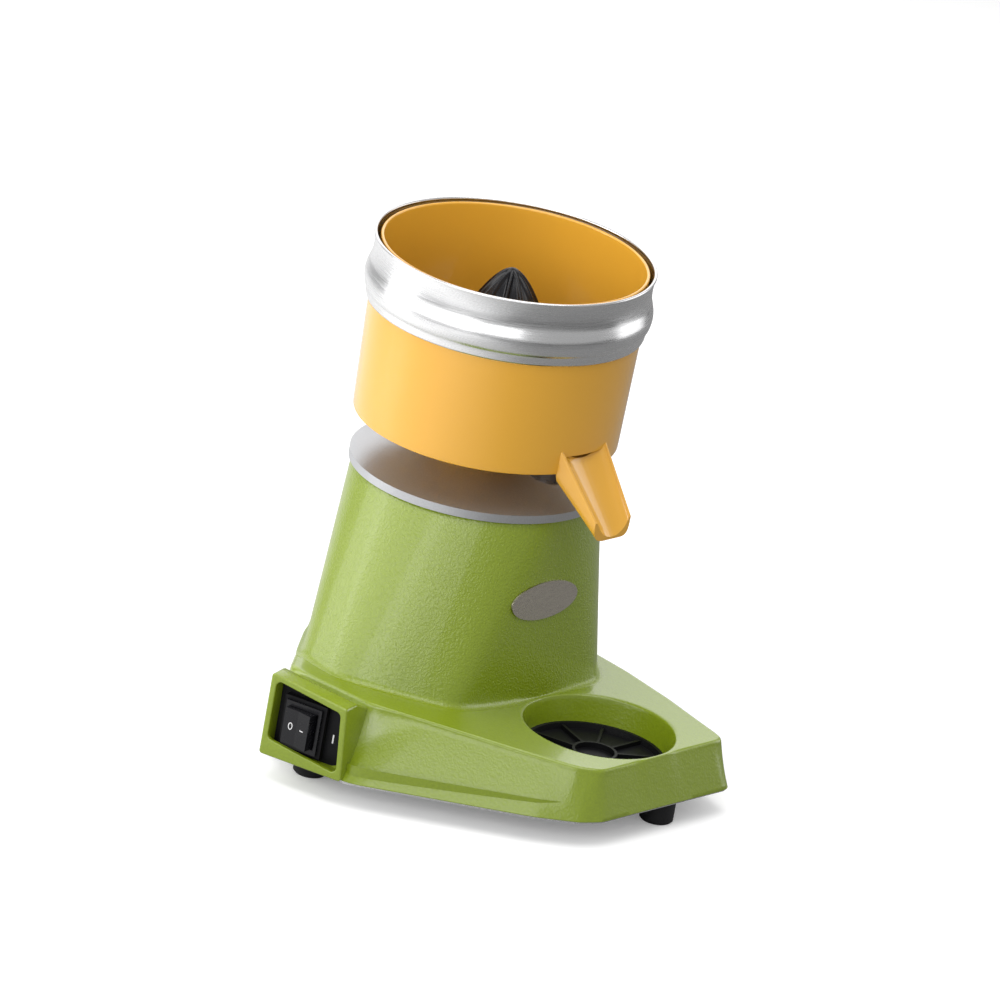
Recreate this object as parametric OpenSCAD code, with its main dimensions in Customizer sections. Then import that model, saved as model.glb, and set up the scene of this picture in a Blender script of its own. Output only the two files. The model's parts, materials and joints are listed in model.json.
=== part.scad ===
/* [Overall] */
// Height of the whole machine, from the table to the lip of the splash guard
total_h = 350; // [335:1:380]

/* [Feet] */
// Diameter of a rubber foot
foot_d = 24; // [18:1:28]
// Height of a foot below the base
foot_h = 18; // [10:1:24]
// Diameter of the screw hole in a foot
foot_bore_d = 4.6; // [4:0.1:6]
// Depth of the pocket for the screw head in a foot
foot_pocket_h = 8; // [4:0.5:9]

/* [Base casting] */
// Reach of the base to the left of the spindle
base_left = 189; // [170:1:200]
// Reach of the base to the right of the spindle
base_right = 98; // [94:1:100]
// Reach of the base in front of the spindle
base_front = 220.5; // [216:0.5:228]
// Reach of the base behind the spindle
base_rear = 97; // [94:1:100]
// Height of the base wall at the front
deck_h = 34.5; // [32:0.5:37]
// How much higher the deck stands at the left than at the front
deck_rise = 14; // [8:1:18]
// How far the front and left walls lean in between bottom and deck
base_draft = 11; // [8:1:11]
// How far the right and rear walls lean in
base_far_draft = 4; // [2:1:6]
// Thickness of the casting's walls
base_wall = 4; // [3:0.5:4.5]
// Radius of the base's upright corners
base_corner_r = 8; // [8:1:12]

/* [Cup recess] */
// Distance of the recess in front of the spindle
cup_y = 153; // [153:0.5:153.5]
// How far the recess stands to the left of the spindle
cup_left = 4; // [0:1:8]
// Radius of the recess at its lip
cup_r = 54.5; // [50:0.5:54.5]
// Radius of the recess at its floor
cup_floor_r = 49; // [42:1:50]
// Depth of the recess
cup_depth = 25; // [16:1:26]
// Thickness of the drip tray's floor
tray_floor = 2; // [1.5:0.5:3]
// Height of the drip tray
tray_h = 6; // [5:0.5:9]
// Number of ribs in the drip tray
tray_ribs = 10; // [6:1:16]

/* [Switch pod] */
// Distance of the pod's face from the spindle, to the left
pod_x = 199.5; // [196:0.5:206]
// Distance of the pod's face from the spindle, to the front
pod_y = 56.5; // [50:0.5:62]
// Width of the pod's face
pod_w = 65; // [60:1:70]
// Height of the pod's face at its rear side
pod_rear_h = 60.5; // [58:0.5:62]
// Height of the pod's face at its front side
pod_front_h = 53; // [51:0.5:55]
// Turn of the pod's face towards the front
pod_turn = 15; // [8:1:20]
// How much narrower the pod's face is at its top
pod_taper = 4; // [2:1:8]
// Width of the rim round the pod's opening
pod_rim = 4.5; // [3:0.5:5]
// How much higher the opening's sill stands at its rear end
pod_sill = 8; // [4:1:8]
// Depth of the recess in front of the switch plate
pod_recess = 11; // [9:1:12]
// Width of the rocker
rocker_w = 21; // [19:1:22]
// Height of the rocker
rocker_h = 26; // [24:1:27]
// Angle that the rocker tips through between its two ends
rocker_throw = 16; // [10:1:18]

/* [Motor housing] */
// Radius of the housing at its top
housing_top_r = 88; // [86:0.5:89]
// Thickness of the housing's wall
housing_wall = 4; // [3:0.5:5]
// Reach of the housing's foot to the front
housing_front = 97.5; // [96:0.5:98]
// Reach of the housing's foot to the left
housing_left = 154; // [148:1:156]
// Reach of the housing's foot to the right
housing_right = 90; // [89:0.5:91]
// Reach of the housing's foot to the rear
housing_rear = 84; // [80:1:86]

/* [Top flange] */
// Radius of the machined rim of the flange
flange_r = 90.5; // [89:0.5:92]
// Height of the machined rim
flange_rim_h = 6; // [4:0.5:8]
// Height from the rim to the top of the flange's cone
flange_cone_h = 13; // [10:0.5:15]
// Radius of the flange's hub, which the bowl fits over
hub_r = 30; // [26:0.5:34]
// Height of the hub above the cone
hub_h = 14; // [10:0.5:16]

/* [Bowl] */
// Radius of the bowl at its bottom edge
bowl_low_r = 93.5; // [92:0.5:94]
// Radius of the bowl at the splash guard
bowl_top_r = 96; // [95:0.5:96.5]
// Height of the bowl's bottom edge above the flange's rim
bowl_gap = 32; // [31:0.5:38]
// Height of the bowl from its bottom edge to its lip
bowl_h = 126; // [122:1:130]
// Thickness of the bowl's wall
bowl_wall = 2.4; // [2:0.1:2.8]
// Radius of the tube in the middle of the bowl
chimney_r = 14; // [12:0.5:16]
// Height of that tube above the bowl's floor
chimney_h = 34; // [28:1:38]
// Half width of the spout at the bowl
spout_root_w = 22; // [20:0.5:23]
// Half width of the spout at its tip
spout_tip_w = 16; // [13:0.5:18]
// Reach of the spout in front of the bowl's wall
spout_reach = 36.5; // [34:0.5:40]
// Drop of the spout's floor between the bowl and the tip
spout_drop = 41; // [38:1:44]
// Height of the spout's side walls above its floor, at the bowl
spout_root_h = 7.5; // [6.5:0.5:9]
// Height of the spout's side walls above its floor, at the tip
spout_tip_h = 10.5; // [9:0.5:12]
// How far the spout's sides hang below its floor at the bowl
spout_skirt = 18.5; // [14:0.5:20]

/* [Splash guard] */
// Radius of the guard at its bead, its widest place
guard_r = 101.5; // [101:0.5:104]
// Height of the guard
guard_h = 46.5; // [42:0.5:50]
// Thickness of the guard's sheet
guard_wall = 1.2; // [0.8:0.1:1.6]

/* [Strainer and squeezer] */
// Height of the strainer's rim above the bowl's floor
strainer_up = 22; // [18:1:24]
// Number of slots in the strainer
strainer_slots = 30; // [18:1:36]
// Width of a slot
slot_w = 3; // [2:0.2:4]
// Radius of the squeezer at its foot
squeezer_r = 41; // [36:1:44]
// Height of the squeezer
squeezer_h = 66; // [60:1:68]
// Number of ribs on the squeezer
squeezer_ribs = 10; // [6:1:12]
// Width of a rib on the squeezer
rib_w = 3; // [2:0.2:4]

/* [Motor] */
// Radius of the stator's core
stator_r = 52; // [46:1:58]
// Radius of the rotor's core
rotor_r = 28; // [24:0.5:32]
// Length of the stator's core
stator_h = 38; // [32:1:44]
// Height of the stator's core above the table
stator_z = 84; // [82:1:88]
// Radius of the drive shaft
shaft_r = 6; // [5:0.5:7]
// Gap between the rotor and the stator
air_gap = 0.5; // [0.3:0.1:1]
// Outer radius of a ball bearing
bearing_r = 16; // [15:0.5:17]
// Width of a ball bearing
bearing_w = 10; // [9:0.5:11]
// Number of blades on the cooling fan
fan_blades = 9; // [6:1:12]

/* [Hidden] */
$fn = 96;
soft = 28;                  // facets round a corner in a blended shape
over = 1;                   // overrun of every cut
play = 0.3;                 // clearance between parts that lift off
run_play = 0.06;            // radial clearance of a shaft in a bore
thread_play = 0.1;          // radial clearance of a screw in its thread
seam = 0.3;                 // gap at a seam between two castings
sliver = 0.5;               // thickness of the slices that a blended shape spans

screw_r = 2;                // the screws
screw_head_r = 3.8;
screw_head_h = 2.4;
screw_depth = 12;
boss_r = 6;                 // the bosses that take them

deck_round = 3;             // height of the rounding along the deck's edge
seat_sunk = 6;              // how far the housing's foot sits below the deck
seat_h = 4;                 // thickness of the seat under it
bolt_at = 78;               // the housing's bolts, from the spindle
opening_r = 70;             // the way from the base up into the housing
cover_plate = 1.5;          // the bottom cover
cover_inset = 2;
vents = 12;
vent_at = 42;
vent_l = 24;
vent_w = 5;
foot_round = 1.5;           // rounding of a foot's lower edge

tray_wall = 2;              // the drip tray
tray_ring_r = 16;
tray_rib_drop = 1;

gland_x = 20;               // the cord gland, and the pad it sits on
gland_r = 5;
gland_bore_r = 3.2;
gland_flange = 3;
gland_flange_r = 8;
gland_l = 18;
gland_h = 16;
gland_pad_r = 9;
gland_pad_l = 7;

plate_t = 2.5;              // the switch plate
plate_gap = 0.3;
bezel_w = 33;               // the switch
bezel_h = 39;
bezel_t = 5;
collar_w = 28;
collar_h = 34;
collar_t = 2.5;
body_w = 25;
body_h = 31;
body_d = 13;
body_well = 3;
rocker_gap = 1.2;
rocker_out = 13;            // how far the rocker stands out from the plate
rocker_back = 2;
rocker_dip = 1;
axle_r = 1.5;
axle_l = 1.5;
axle_out = 2.5;             // how far the rocker's axle stands out from the plate
pod_room = 22;              // room behind the switch plate
room_gap = 2.5;             // room round the switch body, and the way for its wires
wire_way_h = 20;
pod_cap = 15;               // how deep the pod stays at its full height
sill_t = 3;                 // thickness of the opening's sill
switch_off = 5.5;           // how far the switch sits from the plate's middle
switch_low = 1.4;

housing_corner_r = 22;
foot_flange_h = 4;          // flange inside the housing's foot
shoulder_h = 8;             // shoulder that carries the top flange
shoulder_r = 65;
flange_screw_at = 72;
badge_w = 66;               // the badge follows the housing's front
badge_h = 27;
badge_t = 1.2;
badge_x = -14;
badge_z = 125;

spigot_h = 6;               // the top flange's spigot
gasket_h = 1.5;
notch_turn = -72;           // pocket in the flange's cone
notch_at = 50;
notch_r = 13;
seal_h = 5;
seal_w = 7;
boss_wall = 5;
boss_lip = 2;
bearing_step = 2;
shaft_clear = 3;

race_w = 3;                 // the bearings
shield_drop = 0.8;
bracket_drop = 22;          // bearing bracket below the stator
bracket_t = 4;
bracket_boss_h = 14;
coil_h = 10;                // the windings' ends
coil_w = 11;
coil_in = 2;
tie_r = 2.5;                // the tie rods and their nuts
tie_in = 7;
tie_bite = 5;
nut_r = 4.9;
nut_h = 4;
rod_end = 1;
fan_gap = 2;                // the cooling fan
fan_r = 38;
fan_hub_r = 12;
fan_h = 9;
fan_disc = 2;
cap_r = 9;                  // the capacitor and its clamp
cap_l = 58;
cap_x = -112;
cap_y = -72;
clamp_t = 1.5;
clamp_w = 12;
block_x = -18;              // the terminal block
block_y = 52;
block_w = 40;
block_d = 18;
block_h = 14;
block_ways = 4;
block_hole_r = 2;
block_hole_h = 10;

lip_below = 3.5;            // how far the bowl's lip stays below the guard's
rim_step = 1.4;             // step in the bowl's wall that carries the guard
edge_soft = 1;
floor_t = 3;                // the bowl's floor
floor_up = 4;
cove = 4;
strainer_gap = 1.2;
strainer_t = 1.5;
strainer_dip = 8;
strainer_lip = 2;
strainer_slope = 6;
strainer_ledge = 3;
hole_gap = 6;
slot_margin = 6;
spout_wall = 2.2;           // the spout
spout_up = 6.5;
spout_inside = 6;
spout_mouth = 13;           // top of the juice's way out above the bowl's bottom edge
spout_bend = 4;
spout_feet = [0.95, 0.75];  // underside's share of the spout's width, at the bowl and at the tip
spout_space = [0.24, 0.76]; // ends of the hollow under the spout, as shares of its length

squeezer_below = 13;        // tip of the squeezer below the guard's lip
squeezer_power = 0.6;
squeezer_steps = 12;
squeezer_skirt = 10;
squeezer_gap = 3;
squeezer_well = 3;
rib_proud = 3;
shaft_up = 24;              // top of the shaft above the squeezer's foot
shaft_down = 4;
bore_over = 2;
pin_r = 2;                  // the pin that drives the squeezer
pin_up = 8;
pin_out = 4;

pod_corner_x = pod_x + sin(pod_turn) * pod_w / 2;
axis_x = (pod_corner_x - guard_r) / 2;
axis_y = (base_front - guard_r) / 2;

base_z = foot_h;
deck_z = base_z + deck_h;
seat_z = deck_z - seat_sunk;
cup_floor_z = deck_z - cup_depth;
guard_z = total_h - guard_h;
bowl_lower = bowl_h - guard_h + lip_below;
bowl_z = guard_z - bowl_lower;
flange_z = bowl_z - bowl_gap - flange_rim_h;
cone_z = flange_z + flange_rim_h + flange_cone_h;
hub_z = cone_z + hub_h;
floor_z = bowl_z + floor_up;
floor_top = floor_z + floor_t;
spigot_r = housing_top_r - housing_wall - seam;
shoulder_z = flange_z - spigot_h - gasket_h;
upper_bearing_z = flange_z - bearing_w - bearing_step;
boss_z = upper_bearing_z - boss_lip;
bracket_z = stator_z - bracket_drop;
lower_bearing_z = bracket_z + bracket_t;
shaft_low = lower_bearing_z - shaft_down;
tie_at = stator_r - tie_in;
squeezer_z = total_h - squeezer_below - squeezer_h;
shaft_top = squeezer_z + shaft_up;
pin_z = squeezer_z + pin_up;
pin_half = shaft_r + pin_out;
strainer_z = floor_top + strainer_up;
strainer_r = bowl_inner(strainer_z) - strainer_gap;
strainer_hole = chimney_r + hole_gap;
slot_in = strainer_hole + slot_margin;
slot_out = strainer_r - strainer_slope - slot_margin;
collar_r = bowl_top_r - rim_step;
spout_y = bowl_low_r - spout_inside;
spout_z = bowl_z + spout_up;
spout_len = spout_reach + spout_inside;
mouth_z = bowl_z + spout_mouth;
spout_fall = spout_drop * spout_len / spout_reach;
spout_top_z = spout_z + spout_fall - spout_drop;
cap_z = base_z + cap_r + clamp_t;
switch_z = (pod_rear_h + pod_front_h) / 4 - switch_low;
tray_r = cup_floor_r - play;
tray_slope = (cup_r - cup_floor_r) / cup_depth;

// Corners of the base's bottom outline, as shares of its four reaches
base_shares = [
    [-0.35, -1], [0.69, -1], [0.86, -0.69], [0.95, -0.45], [1, -0.14], [1, 0.2], [0.86, 0.72],
    [0.46, 1], [-0.02, 1], [-0.28, 0.86], [-0.51, 0.46], [-0.78, 0.07], [-0.93, -0.04],
    [-1, -0.41], [-0.68, -0.73], [-0.55, -0.875], [-0.42, -0.975]];
// How far each of those corners leans in, as shares of its wall's lean
lean_shares = [1, 1, 1, 1, 1, 1, 1, 1, 1, 1, 1, 1.5, 3, 2.5, 2.8, 2.2, 1.3];
// Corners further back than this share lean in only as far as the rear wall does
far_share = -0.2;
// How far up the deck's rise each of those corners stands, as shares of it
rise_shares = [0, 0, 0, 0, 0, 0, 0, 0, 0, 0.1, 0.3, 0.7, 0.95, 1, 0.4, 0.15, 0];
// The corners, by number, that the shoulder on the left spans
shoulder_corners = [8, 9, 10, 11, 12, 13, 14, 15, 16];

// Corners of the housing's foot, as shares of its four reaches
housing_shares = [
    [-0.69, -1], [0.68, -1], [0.95, -0.7], [1, -0.35], [1, 0.4], [0.75, 0.85],
    [0.3, 1], [-0.28, 0.88], [-0.6, 0.48], [-0.97, -0.09], [-1, -0.4], [-0.93, -0.61],
    [-0.81, -0.81]];

// The spout's channel, from rim to rim, as shares of its half width and its walls' height
channel_shares = [
    [-1, 1.3], [-0.98, 0.95], [-0.88, 0.68], [-0.7, 0.38], [-0.42, 0.12], [-0.15, 0.01],
    [0.15, 0.01], [0.42, 0.12], [0.7, 0.38], [0.88, 0.68], [0.98, 0.95], [1, 1.3]];

// Places of the feet and of the bottom cover's screws
feet_at = [
    [0.11 * base_right, -0.932 * base_front], [-0.873 * base_left, -0.17 * base_front],
    [-0.21 * base_left, 0.64 * base_rear], [0.72 * base_right, 0.3 * base_rear]];
cover_screws_at = [
    [-0.27 * base_left, -0.9 * base_front], [0.6 * base_right, -0.9 * base_front],
    [-0.79 * base_left, -0.18 * base_front], [-0.58 * base_left, 0.05 * base_rear],
    [0.8 * base_right, -0.2 * base_front], [0.51 * base_right, 0.8 * base_rear]];

function reach(share, low, high) = share < 0 ? share * low : share * high;
function lean(i, draft) = base_corner_r + lean_shares[i] * draft;
function base_outline(near, far) = [for (i = [0 : len(base_shares) - 1])
    let (s = base_shares[i]) [
        reach(s.x, base_left - lean(i, s.y > far_share ? far : near), base_right - lean(i, far)),
        reach(s.y, base_front - lean(i, near), base_rear - lean(i, far))]];
function housing_outline(lean) = [for (s = housing_shares) [
    reach(s.x, housing_left - lean, housing_right - lean),
    reach(s.y, housing_front - lean, housing_rear - lean)]];
function bowl_outer(z) =
    bowl_low_r + (bowl_top_r - bowl_low_r) * min(1, max(0, (z - bowl_z) / bowl_lower));
function bowl_inner(z) = bowl_outer(z) - bowl_wall;

// Moves a shape from the spindle's axis to the middle of the machine's footprint
module placed() { translate([axis_x, axis_y, 0]) children(); }

module ring(inner, outer, h) {
    difference() {
        cylinder(r = outer, h = h);
        translate([0, 0, -over]) cylinder(r = inner, h = h + 2 * over);
    }
}

module rod(r, h) { cylinder(r = r, h = h); }

module cone(low_r, high_r, h) { cylinder(r1 = low_r, r2 = high_r, h = h); }

module around(count, at = 0) {
    for (i = [0 : count - 1]) rotate([0, 0, at + i * 360 / count]) children();
}

// A body that leans in from its bottom outline to a flat deck, with a shoulder on its left
module base_body(inset, low, lift) {
    base_corners(inset, low, lift, [for (i = [0 : len(base_shares) - 1]) i], 0);
    base_corners(inset, low, lift, shoulder_corners, 1);
}

// The hull over some of the base's corners, each as high as its share of the deck's rise
module base_corners(inset, low, lift, corners, rising) {
    feet = base_outline(0, 0);
    tops = base_outline(base_draft, base_far_draft);
    hull() {
        for (i = corners) {
            top = deck_z + rising * rise_shares[i] * deck_rise + lift;
            translate([feet[i].x, feet[i].y, low])
                cylinder(r = base_corner_r - inset, h = sliver, $fn = soft);
            translate([tops[i].x, tops[i].y, top - deck_round - sliver])
                cylinder(r = base_corner_r - inset, h = sliver, $fn = soft);
            translate([tops[i].x, tops[i].y, top - sliver])
                cylinder(r = base_corner_r - deck_round - inset, h = sliver, $fn = soft);
        }
    }
}

// The housing, round at the top and spread at its foot
module housing_body(inset) {
    hull() {
        for (p = housing_outline(housing_corner_r)) translate([p.x, p.y, seat_z])
            cylinder(r = housing_corner_r - inset, h = sliver, $fn = soft);
        translate([0, 0, flange_z - sliver])
            cylinder(r = housing_top_r - inset, h = sliver, $fn = 2 * soft);
    }
}

// A flat slab with the outline of the housing's foot
module housing_slab(grow, low, h) {
    hull() for (p = housing_outline(housing_corner_r)) translate([p.x, p.y, low])
        cylinder(r = housing_corner_r + grow, h = h, $fn = soft);
}

// Carries a shape into the pod's frame: X along the face to the front, Y into the machine
module at_pod() {
    translate([-pod_x, -pod_y, base_z]) rotate([0, 0, pod_turn - 90]) children();
}

// A block as wide as the pod, from one depth to another, whose top falls to the front
module pod_block(inset, from, to) {
    translate([0, from, 0]) rotate([90, 0, 0]) mirror([0, 0, 1]) linear_extrude(to - from)
        polygon([
            [-pod_w / 2 + inset, inset], [pod_w / 2 - inset, inset],
            [pod_w / 2 - pod_taper - inset, pod_front_h - inset],
            [-pod_w / 2 + inset, pod_rear_h - inset]]);
}

// The pod's block, whose top falls from its full height to the deck behind it
module pod_body(inset, from, to) {
    hull() {
        pod_block(inset, from, pod_cap);
        translate([inset - pod_w / 2, to - over, inset])
            cube([pod_w - pod_taper - 2 * inset, over, deck_h + deck_rise - base_wall - 2 * inset]);
    }
}

// The opening in the pod's face, whose sill rises to the rear
module pod_opening() {
    translate([0, -over, 0]) rotate([90, 0, 0]) mirror([0, 0, 1])
        linear_extrude(sill_t + 2 * over) polygon([
            [-pod_w / 2 + pod_rim, pod_rim + pod_sill], [pod_w / 2 - pod_rim, pod_rim],
            [pod_w / 2 - pod_taper - pod_rim, pod_front_h - pod_rim],
            [-pod_w / 2 + pod_rim, pod_rear_h - pod_rim]]);
}

// A block in the switch's place, from one depth to another
module switch_block(w, h, from, to) {
    translate([-switch_off - w / 2, from, switch_z - h / 2]) cube([w, to - from, h]);
}

module base_casting() {
    color("olivedrab") placed() difference() {
        union() {
            base_body(0, base_z, 0);
            at_pod() pod_body(0, 0, pod_back);
            translate([gland_x, base_rear, base_z + gland_h]) rotate([90, 0, 0])
                rod(gland_pad_r, gland_pad_l);
        }
        difference() {
            union() {
                base_body(base_wall, base_z - over, -base_wall);
                at_pod() {
                    switch_block(body_w + 2 * room_gap, body_h + 2 * room_gap, pod_recess,
                        pod_recess + body_d + room_gap);
                    switch_block(body_w + 2 * room_gap, wire_way_h, pod_recess, pod_back + over);
                }
            }
            translate([-cup_left, -cup_y, cup_floor_z - base_wall])
                cone(cup_floor_r + base_wall, cup_r + base_wall, cup_depth + base_wall);
            housing_slab(base_wall, seat_z - seat_h, seat_h + seat_sunk + deck_rise);
            for (p = concat(feet_at, cover_screws_at))
                translate([p.x, p.y, base_z]) rod(boss_r, deck_h + deck_rise);
        }
        at_pod() {
            pod_block(pod_rim, sill_t, pod_recess + plate_t);
            pod_opening();
        }
        housing_body(-seam);
        translate([-cup_left, -cup_y, cup_floor_z])
            cone(cup_floor_r, cup_r + over * tray_slope, cup_depth + over);
        translate([0, 0, base_z - over]) rod(opening_r, deck_h + over);
        for (p = concat(feet_at, cover_screws_at))
            translate([p.x, p.y, base_z - over]) rod(screw_r, screw_depth + over);
        around(4, 45) translate([bolt_at, 0, seat_z - seat_h - over])
            rod(screw_r, seat_h + 2 * over);
        translate([-bolt_at, 0, seat_z - seat_h - over]) rod(screw_r, seat_h + 2 * over);
        translate([gland_x, base_rear + over, base_z + gland_h]) rotate([90, 0, 0])
            rod(gland_r, gland_pad_l + base_draft);
    }
}
pod_back = pod_recess + plate_t + pod_room;

module bottom_cover() {
    color("silver") placed() translate([0, 0, base_z - cover_plate]) difference() {
        hull() for (p = base_outline(0, 0)) translate([p.x, p.y, 0])
            cylinder(r = base_corner_r - cover_inset, h = cover_plate, $fn = soft);
        for (p = feet_at) translate([p.x, p.y, -over])
            rod(foot_bore_d / 2, cover_plate + 2 * over);
        for (p = cover_screws_at) translate([p.x, p.y, -over])
            rod(screw_r + play, cover_plate + 2 * over);
        around(vents) translate([vent_at - vent_l / 2, -vent_w / 2, -over])
            cube([vent_l, vent_w, cover_plate + 2 * over]);
    }
}

// A pan-head screw that points up
module screw_up(length) {
    translate([0, 0, -screw_head_h]) rod(screw_head_r, screw_head_h);
    rod(screw_r - thread_play, length);
}

module cover_screws() {
    color("lightgray") placed() for (p = cover_screws_at)
        translate([p.x, p.y, base_z - cover_plate]) screw_up(screw_depth);
}

module rubber_feet() {
    color("black") placed() for (p = feet_at) translate([p.x, p.y, 0]) difference() {
        union() {
            translate([0, 0, foot_round]) rod(foot_d / 2, foot_h - cover_plate - foot_round);
            cone(foot_d / 2 - foot_round, foot_d / 2, foot_round);
        }
        translate([0, 0, -over]) rod(foot_bore_d / 2, foot_h + 2 * over);
        translate([0, 0, -over]) rod(screw_head_r + play, foot_pocket_h + over);
    }
}

module foot_screws() {
    color("lightgray") placed() for (p = feet_at) translate([p.x, p.y, foot_pocket_h])
        screw_up(foot_h - foot_pocket_h + screw_depth - play);
}

module drip_tray() {
    color("dimgray") placed() translate([-cup_left, -cup_y, cup_floor_z]) {
        difference() {
            cone(tray_r, tray_r + tray_h * tray_slope, tray_h);
            translate([0, 0, tray_floor])
                cone(tray_r - tray_wall, tray_r - tray_wall + tray_h * tray_slope, tray_h);
        }
        ring(tray_ring_r - tray_wall, tray_ring_r, tray_h);
        around(tray_ribs) translate([tray_ring_r - tray_wall / 2, -tray_wall / 2, 0])
            cube([tray_r - tray_ring_r, tray_wall, tray_h - tray_rib_drop]);
    }
}

module cord_gland() {
    color("black") placed() translate([gland_x, base_rear, base_z + gland_h]) rotate([90, 0, 0])
        difference() {
            union() {
                translate([0, 0, -gland_flange]) rod(gland_flange_r, gland_flange);
                rod(gland_r, gland_l);
            }
            translate([0, 0, -gland_flange - over])
                rod(gland_bore_r, gland_l + gland_flange + 2 * over);
        }
}

module earth_screw() {
    color("gold") placed() translate([-bolt_at, 0, seat_z - seat_h]) screw_up(seat_h - play);
}

module switch_plate() {
    color("black") placed() at_pod() difference() {
        pod_block(pod_rim + plate_gap, pod_recess, pod_recess + plate_t);
        switch_block(body_w, body_h, pod_recess - over, pod_recess + plate_t + over);
    }
}

module switch_body() {
    color("black") placed() at_pod() difference() {
        switch_block(body_w, body_h, pod_recess, pod_recess + body_d);
        switch_block(rocker_w + 2 * rocker_gap, rocker_h, pod_recess - over,
            pod_recess + body_well);
    }
}

// Two round holes in a frame of the switch, for the rocker's axle
module axle_cut() {
    translate([-switch_off, pod_recess - axle_out, switch_z - rocker_h / 2 - axle_l - play])
        rod(axle_r + run_play, rocker_h + 2 * axle_l + 2 * play);
}

module switch_bezel() {
    color("black") placed() at_pod() difference() {
        switch_block(bezel_w, bezel_h, pod_recess - bezel_t, pod_recess);
        switch_block(rocker_w + 2 * rocker_gap, rocker_h + 2 * play,
            pod_recess - bezel_t - over, pod_recess + over);
        axle_cut();
    }
}

module switch_collar() {
    color("dimgray") placed() at_pod() difference() {
        switch_block(collar_w, collar_h, pod_recess - bezel_t - collar_t, pod_recess - bezel_t);
        switch_block(rocker_w + 2 * rocker_gap, rocker_h + 2 * play,
            pod_recess - bezel_t - collar_t - over, pod_recess);
    }
}

// The rocker's face dips in the middle, and it tips sideways on its upright axle
module switch_rocker() {
    color("black") placed() at_pod() translate([-switch_off, pod_recess - axle_out, switch_z])
        rotate([0, 0, -rocker_throw / 2]) {
            translate([0, 0, -rocker_h / 2]) linear_extrude(rocker_h) polygon([
                [-rocker_w / 2, rocker_back], [-rocker_w / 2, axle_out - rocker_out],
                [0, axle_out - rocker_out + rocker_dip], [rocker_w / 2, axle_out - rocker_out],
                [rocker_w / 2, rocker_back]]);
            translate([0, 0, -rocker_h / 2 - axle_l]) rod(axle_r, rocker_h + 2 * axle_l);
        }
}

module motor_housing() {
    color("olivedrab") placed() difference() {
        housing_body(0);
        difference() {
            housing_hollow();
            translate([0, 0, seat_z - over])
                cylinder(r = housing_left + housing_right, h = foot_flange_h + over);
            translate([0, 0, shoulder_z - shoulder_h]) rod(flange_r, shoulder_h);
        }
        translate([0, 0, shoulder_z]) rod(spigot_r + seam, spigot_h + gasket_h + over);
        translate([0, 0, seat_z - over]) rod(opening_r, foot_flange_h + 2 * over);
        translate([0, 0, shoulder_z - shoulder_h - over]) rod(shoulder_r, shoulder_h + 2 * over);
        around(4, 45) translate([bolt_at, 0, seat_z - over])
            rod(screw_r, foot_flange_h + 2 * over);
        around(3, 30) translate([flange_screw_at, 0, shoulder_z - shoulder_h - over])
            rod(screw_r, shoulder_h + 2 * over);
    }
}

// The space inside the housing
module housing_hollow() {
    hull() {
        for (p = housing_outline(housing_corner_r)) translate([p.x, p.y, seat_z - over])
            cylinder(r = housing_corner_r - housing_wall, h = sliver, $fn = soft);
        translate([0, 0, flange_z + over])
            cylinder(r = housing_top_r - housing_wall, h = sliver, $fn = 2 * soft);
    }
}

module housing_bolts() {
    color("lightgray") placed() around(4, 45)
        translate([bolt_at, 0, seat_z - seat_h]) screw_up(seat_h + 2 * foot_flange_h);
}

// A bare oval that follows the housing's front
module badge_plate() {
    color("silver") placed() difference() {
        intersection() {
            housing_body(-badge_t);
            translate([badge_x, 0, badge_z]) rotate([90, 0, 0]) scale([badge_w / badge_h, 1, 1])
                rod(badge_h / 2, housing_front + over);
        }
        housing_body(0);
    }
}

module top_flange() {
    color("silver") placed() difference() {
        rotate_extrude() polygon([
            [shaft_r + shaft_clear, boss_z], [bearing_r + boss_wall, boss_z],
            [bearing_r + boss_wall, flange_z], [shoulder_r, flange_z],
            [shoulder_r, flange_z - spigot_h], [spigot_r, flange_z - spigot_h],
            [spigot_r, flange_z], [flange_r, flange_z], [flange_r, flange_z + flange_rim_h],
            [hub_r, cone_z], [hub_r, hub_z], [shaft_r + shaft_clear, hub_z]]);
        translate([0, 0, boss_z - over]) rod(bearing_r, boss_lip + bearing_w + over);
        translate([0, 0, hub_z - seal_h]) rod(shaft_r + seal_w, seal_h + over);
        around(3, 30) translate([flange_screw_at, 0, flange_z - spigot_h - over])
            rod(screw_r, screw_depth - boss_lip + over);
        around(4) translate([tie_at, 0, flange_z - over]) rod(tie_r, tie_bite + over);
        rotate([0, 0, notch_turn]) translate([notch_at, 0, flange_z + flange_rim_h - sliver])
            rod(notch_r, flange_cone_h);
    }
}

module flange_gasket() {
    color("black") placed() translate([0, 0, shoulder_z]) difference() {
        ring(shoulder_r, spigot_r, gasket_h);
        around(3, 30) translate([flange_screw_at, 0, -over])
            rod(screw_r + play, gasket_h + 2 * over);
    }
}

module flange_screws() {
    color("lightgray") placed() around(3, 30)
        translate([flange_screw_at, 0, shoulder_z - shoulder_h])
            screw_up(shoulder_h + gasket_h + screw_depth - 2 * boss_lip);
}

module shaft_seal() {
    color("black") placed() translate([0, 0, hub_z - seal_h])
        ring(shaft_r + run_play, shaft_r + seal_w, seal_h);
}

// A sealed ball bearing: two races with a shield a little below their faces
module bearing() {
    ring(shaft_r + run_play, shaft_r + race_w, bearing_w);
    ring(bearing_r - race_w, bearing_r, bearing_w);
    translate([0, 0, shield_drop])
        ring(shaft_r + race_w - shield_drop, bearing_r - race_w + shield_drop,
            bearing_w - 2 * shield_drop);
}

module upper_bearing() {
    color("silver") placed() translate([0, 0, upper_bearing_z]) bearing();
}

module lower_bearing() {
    color("silver") placed() translate([0, 0, lower_bearing_z]) bearing();
}

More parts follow.
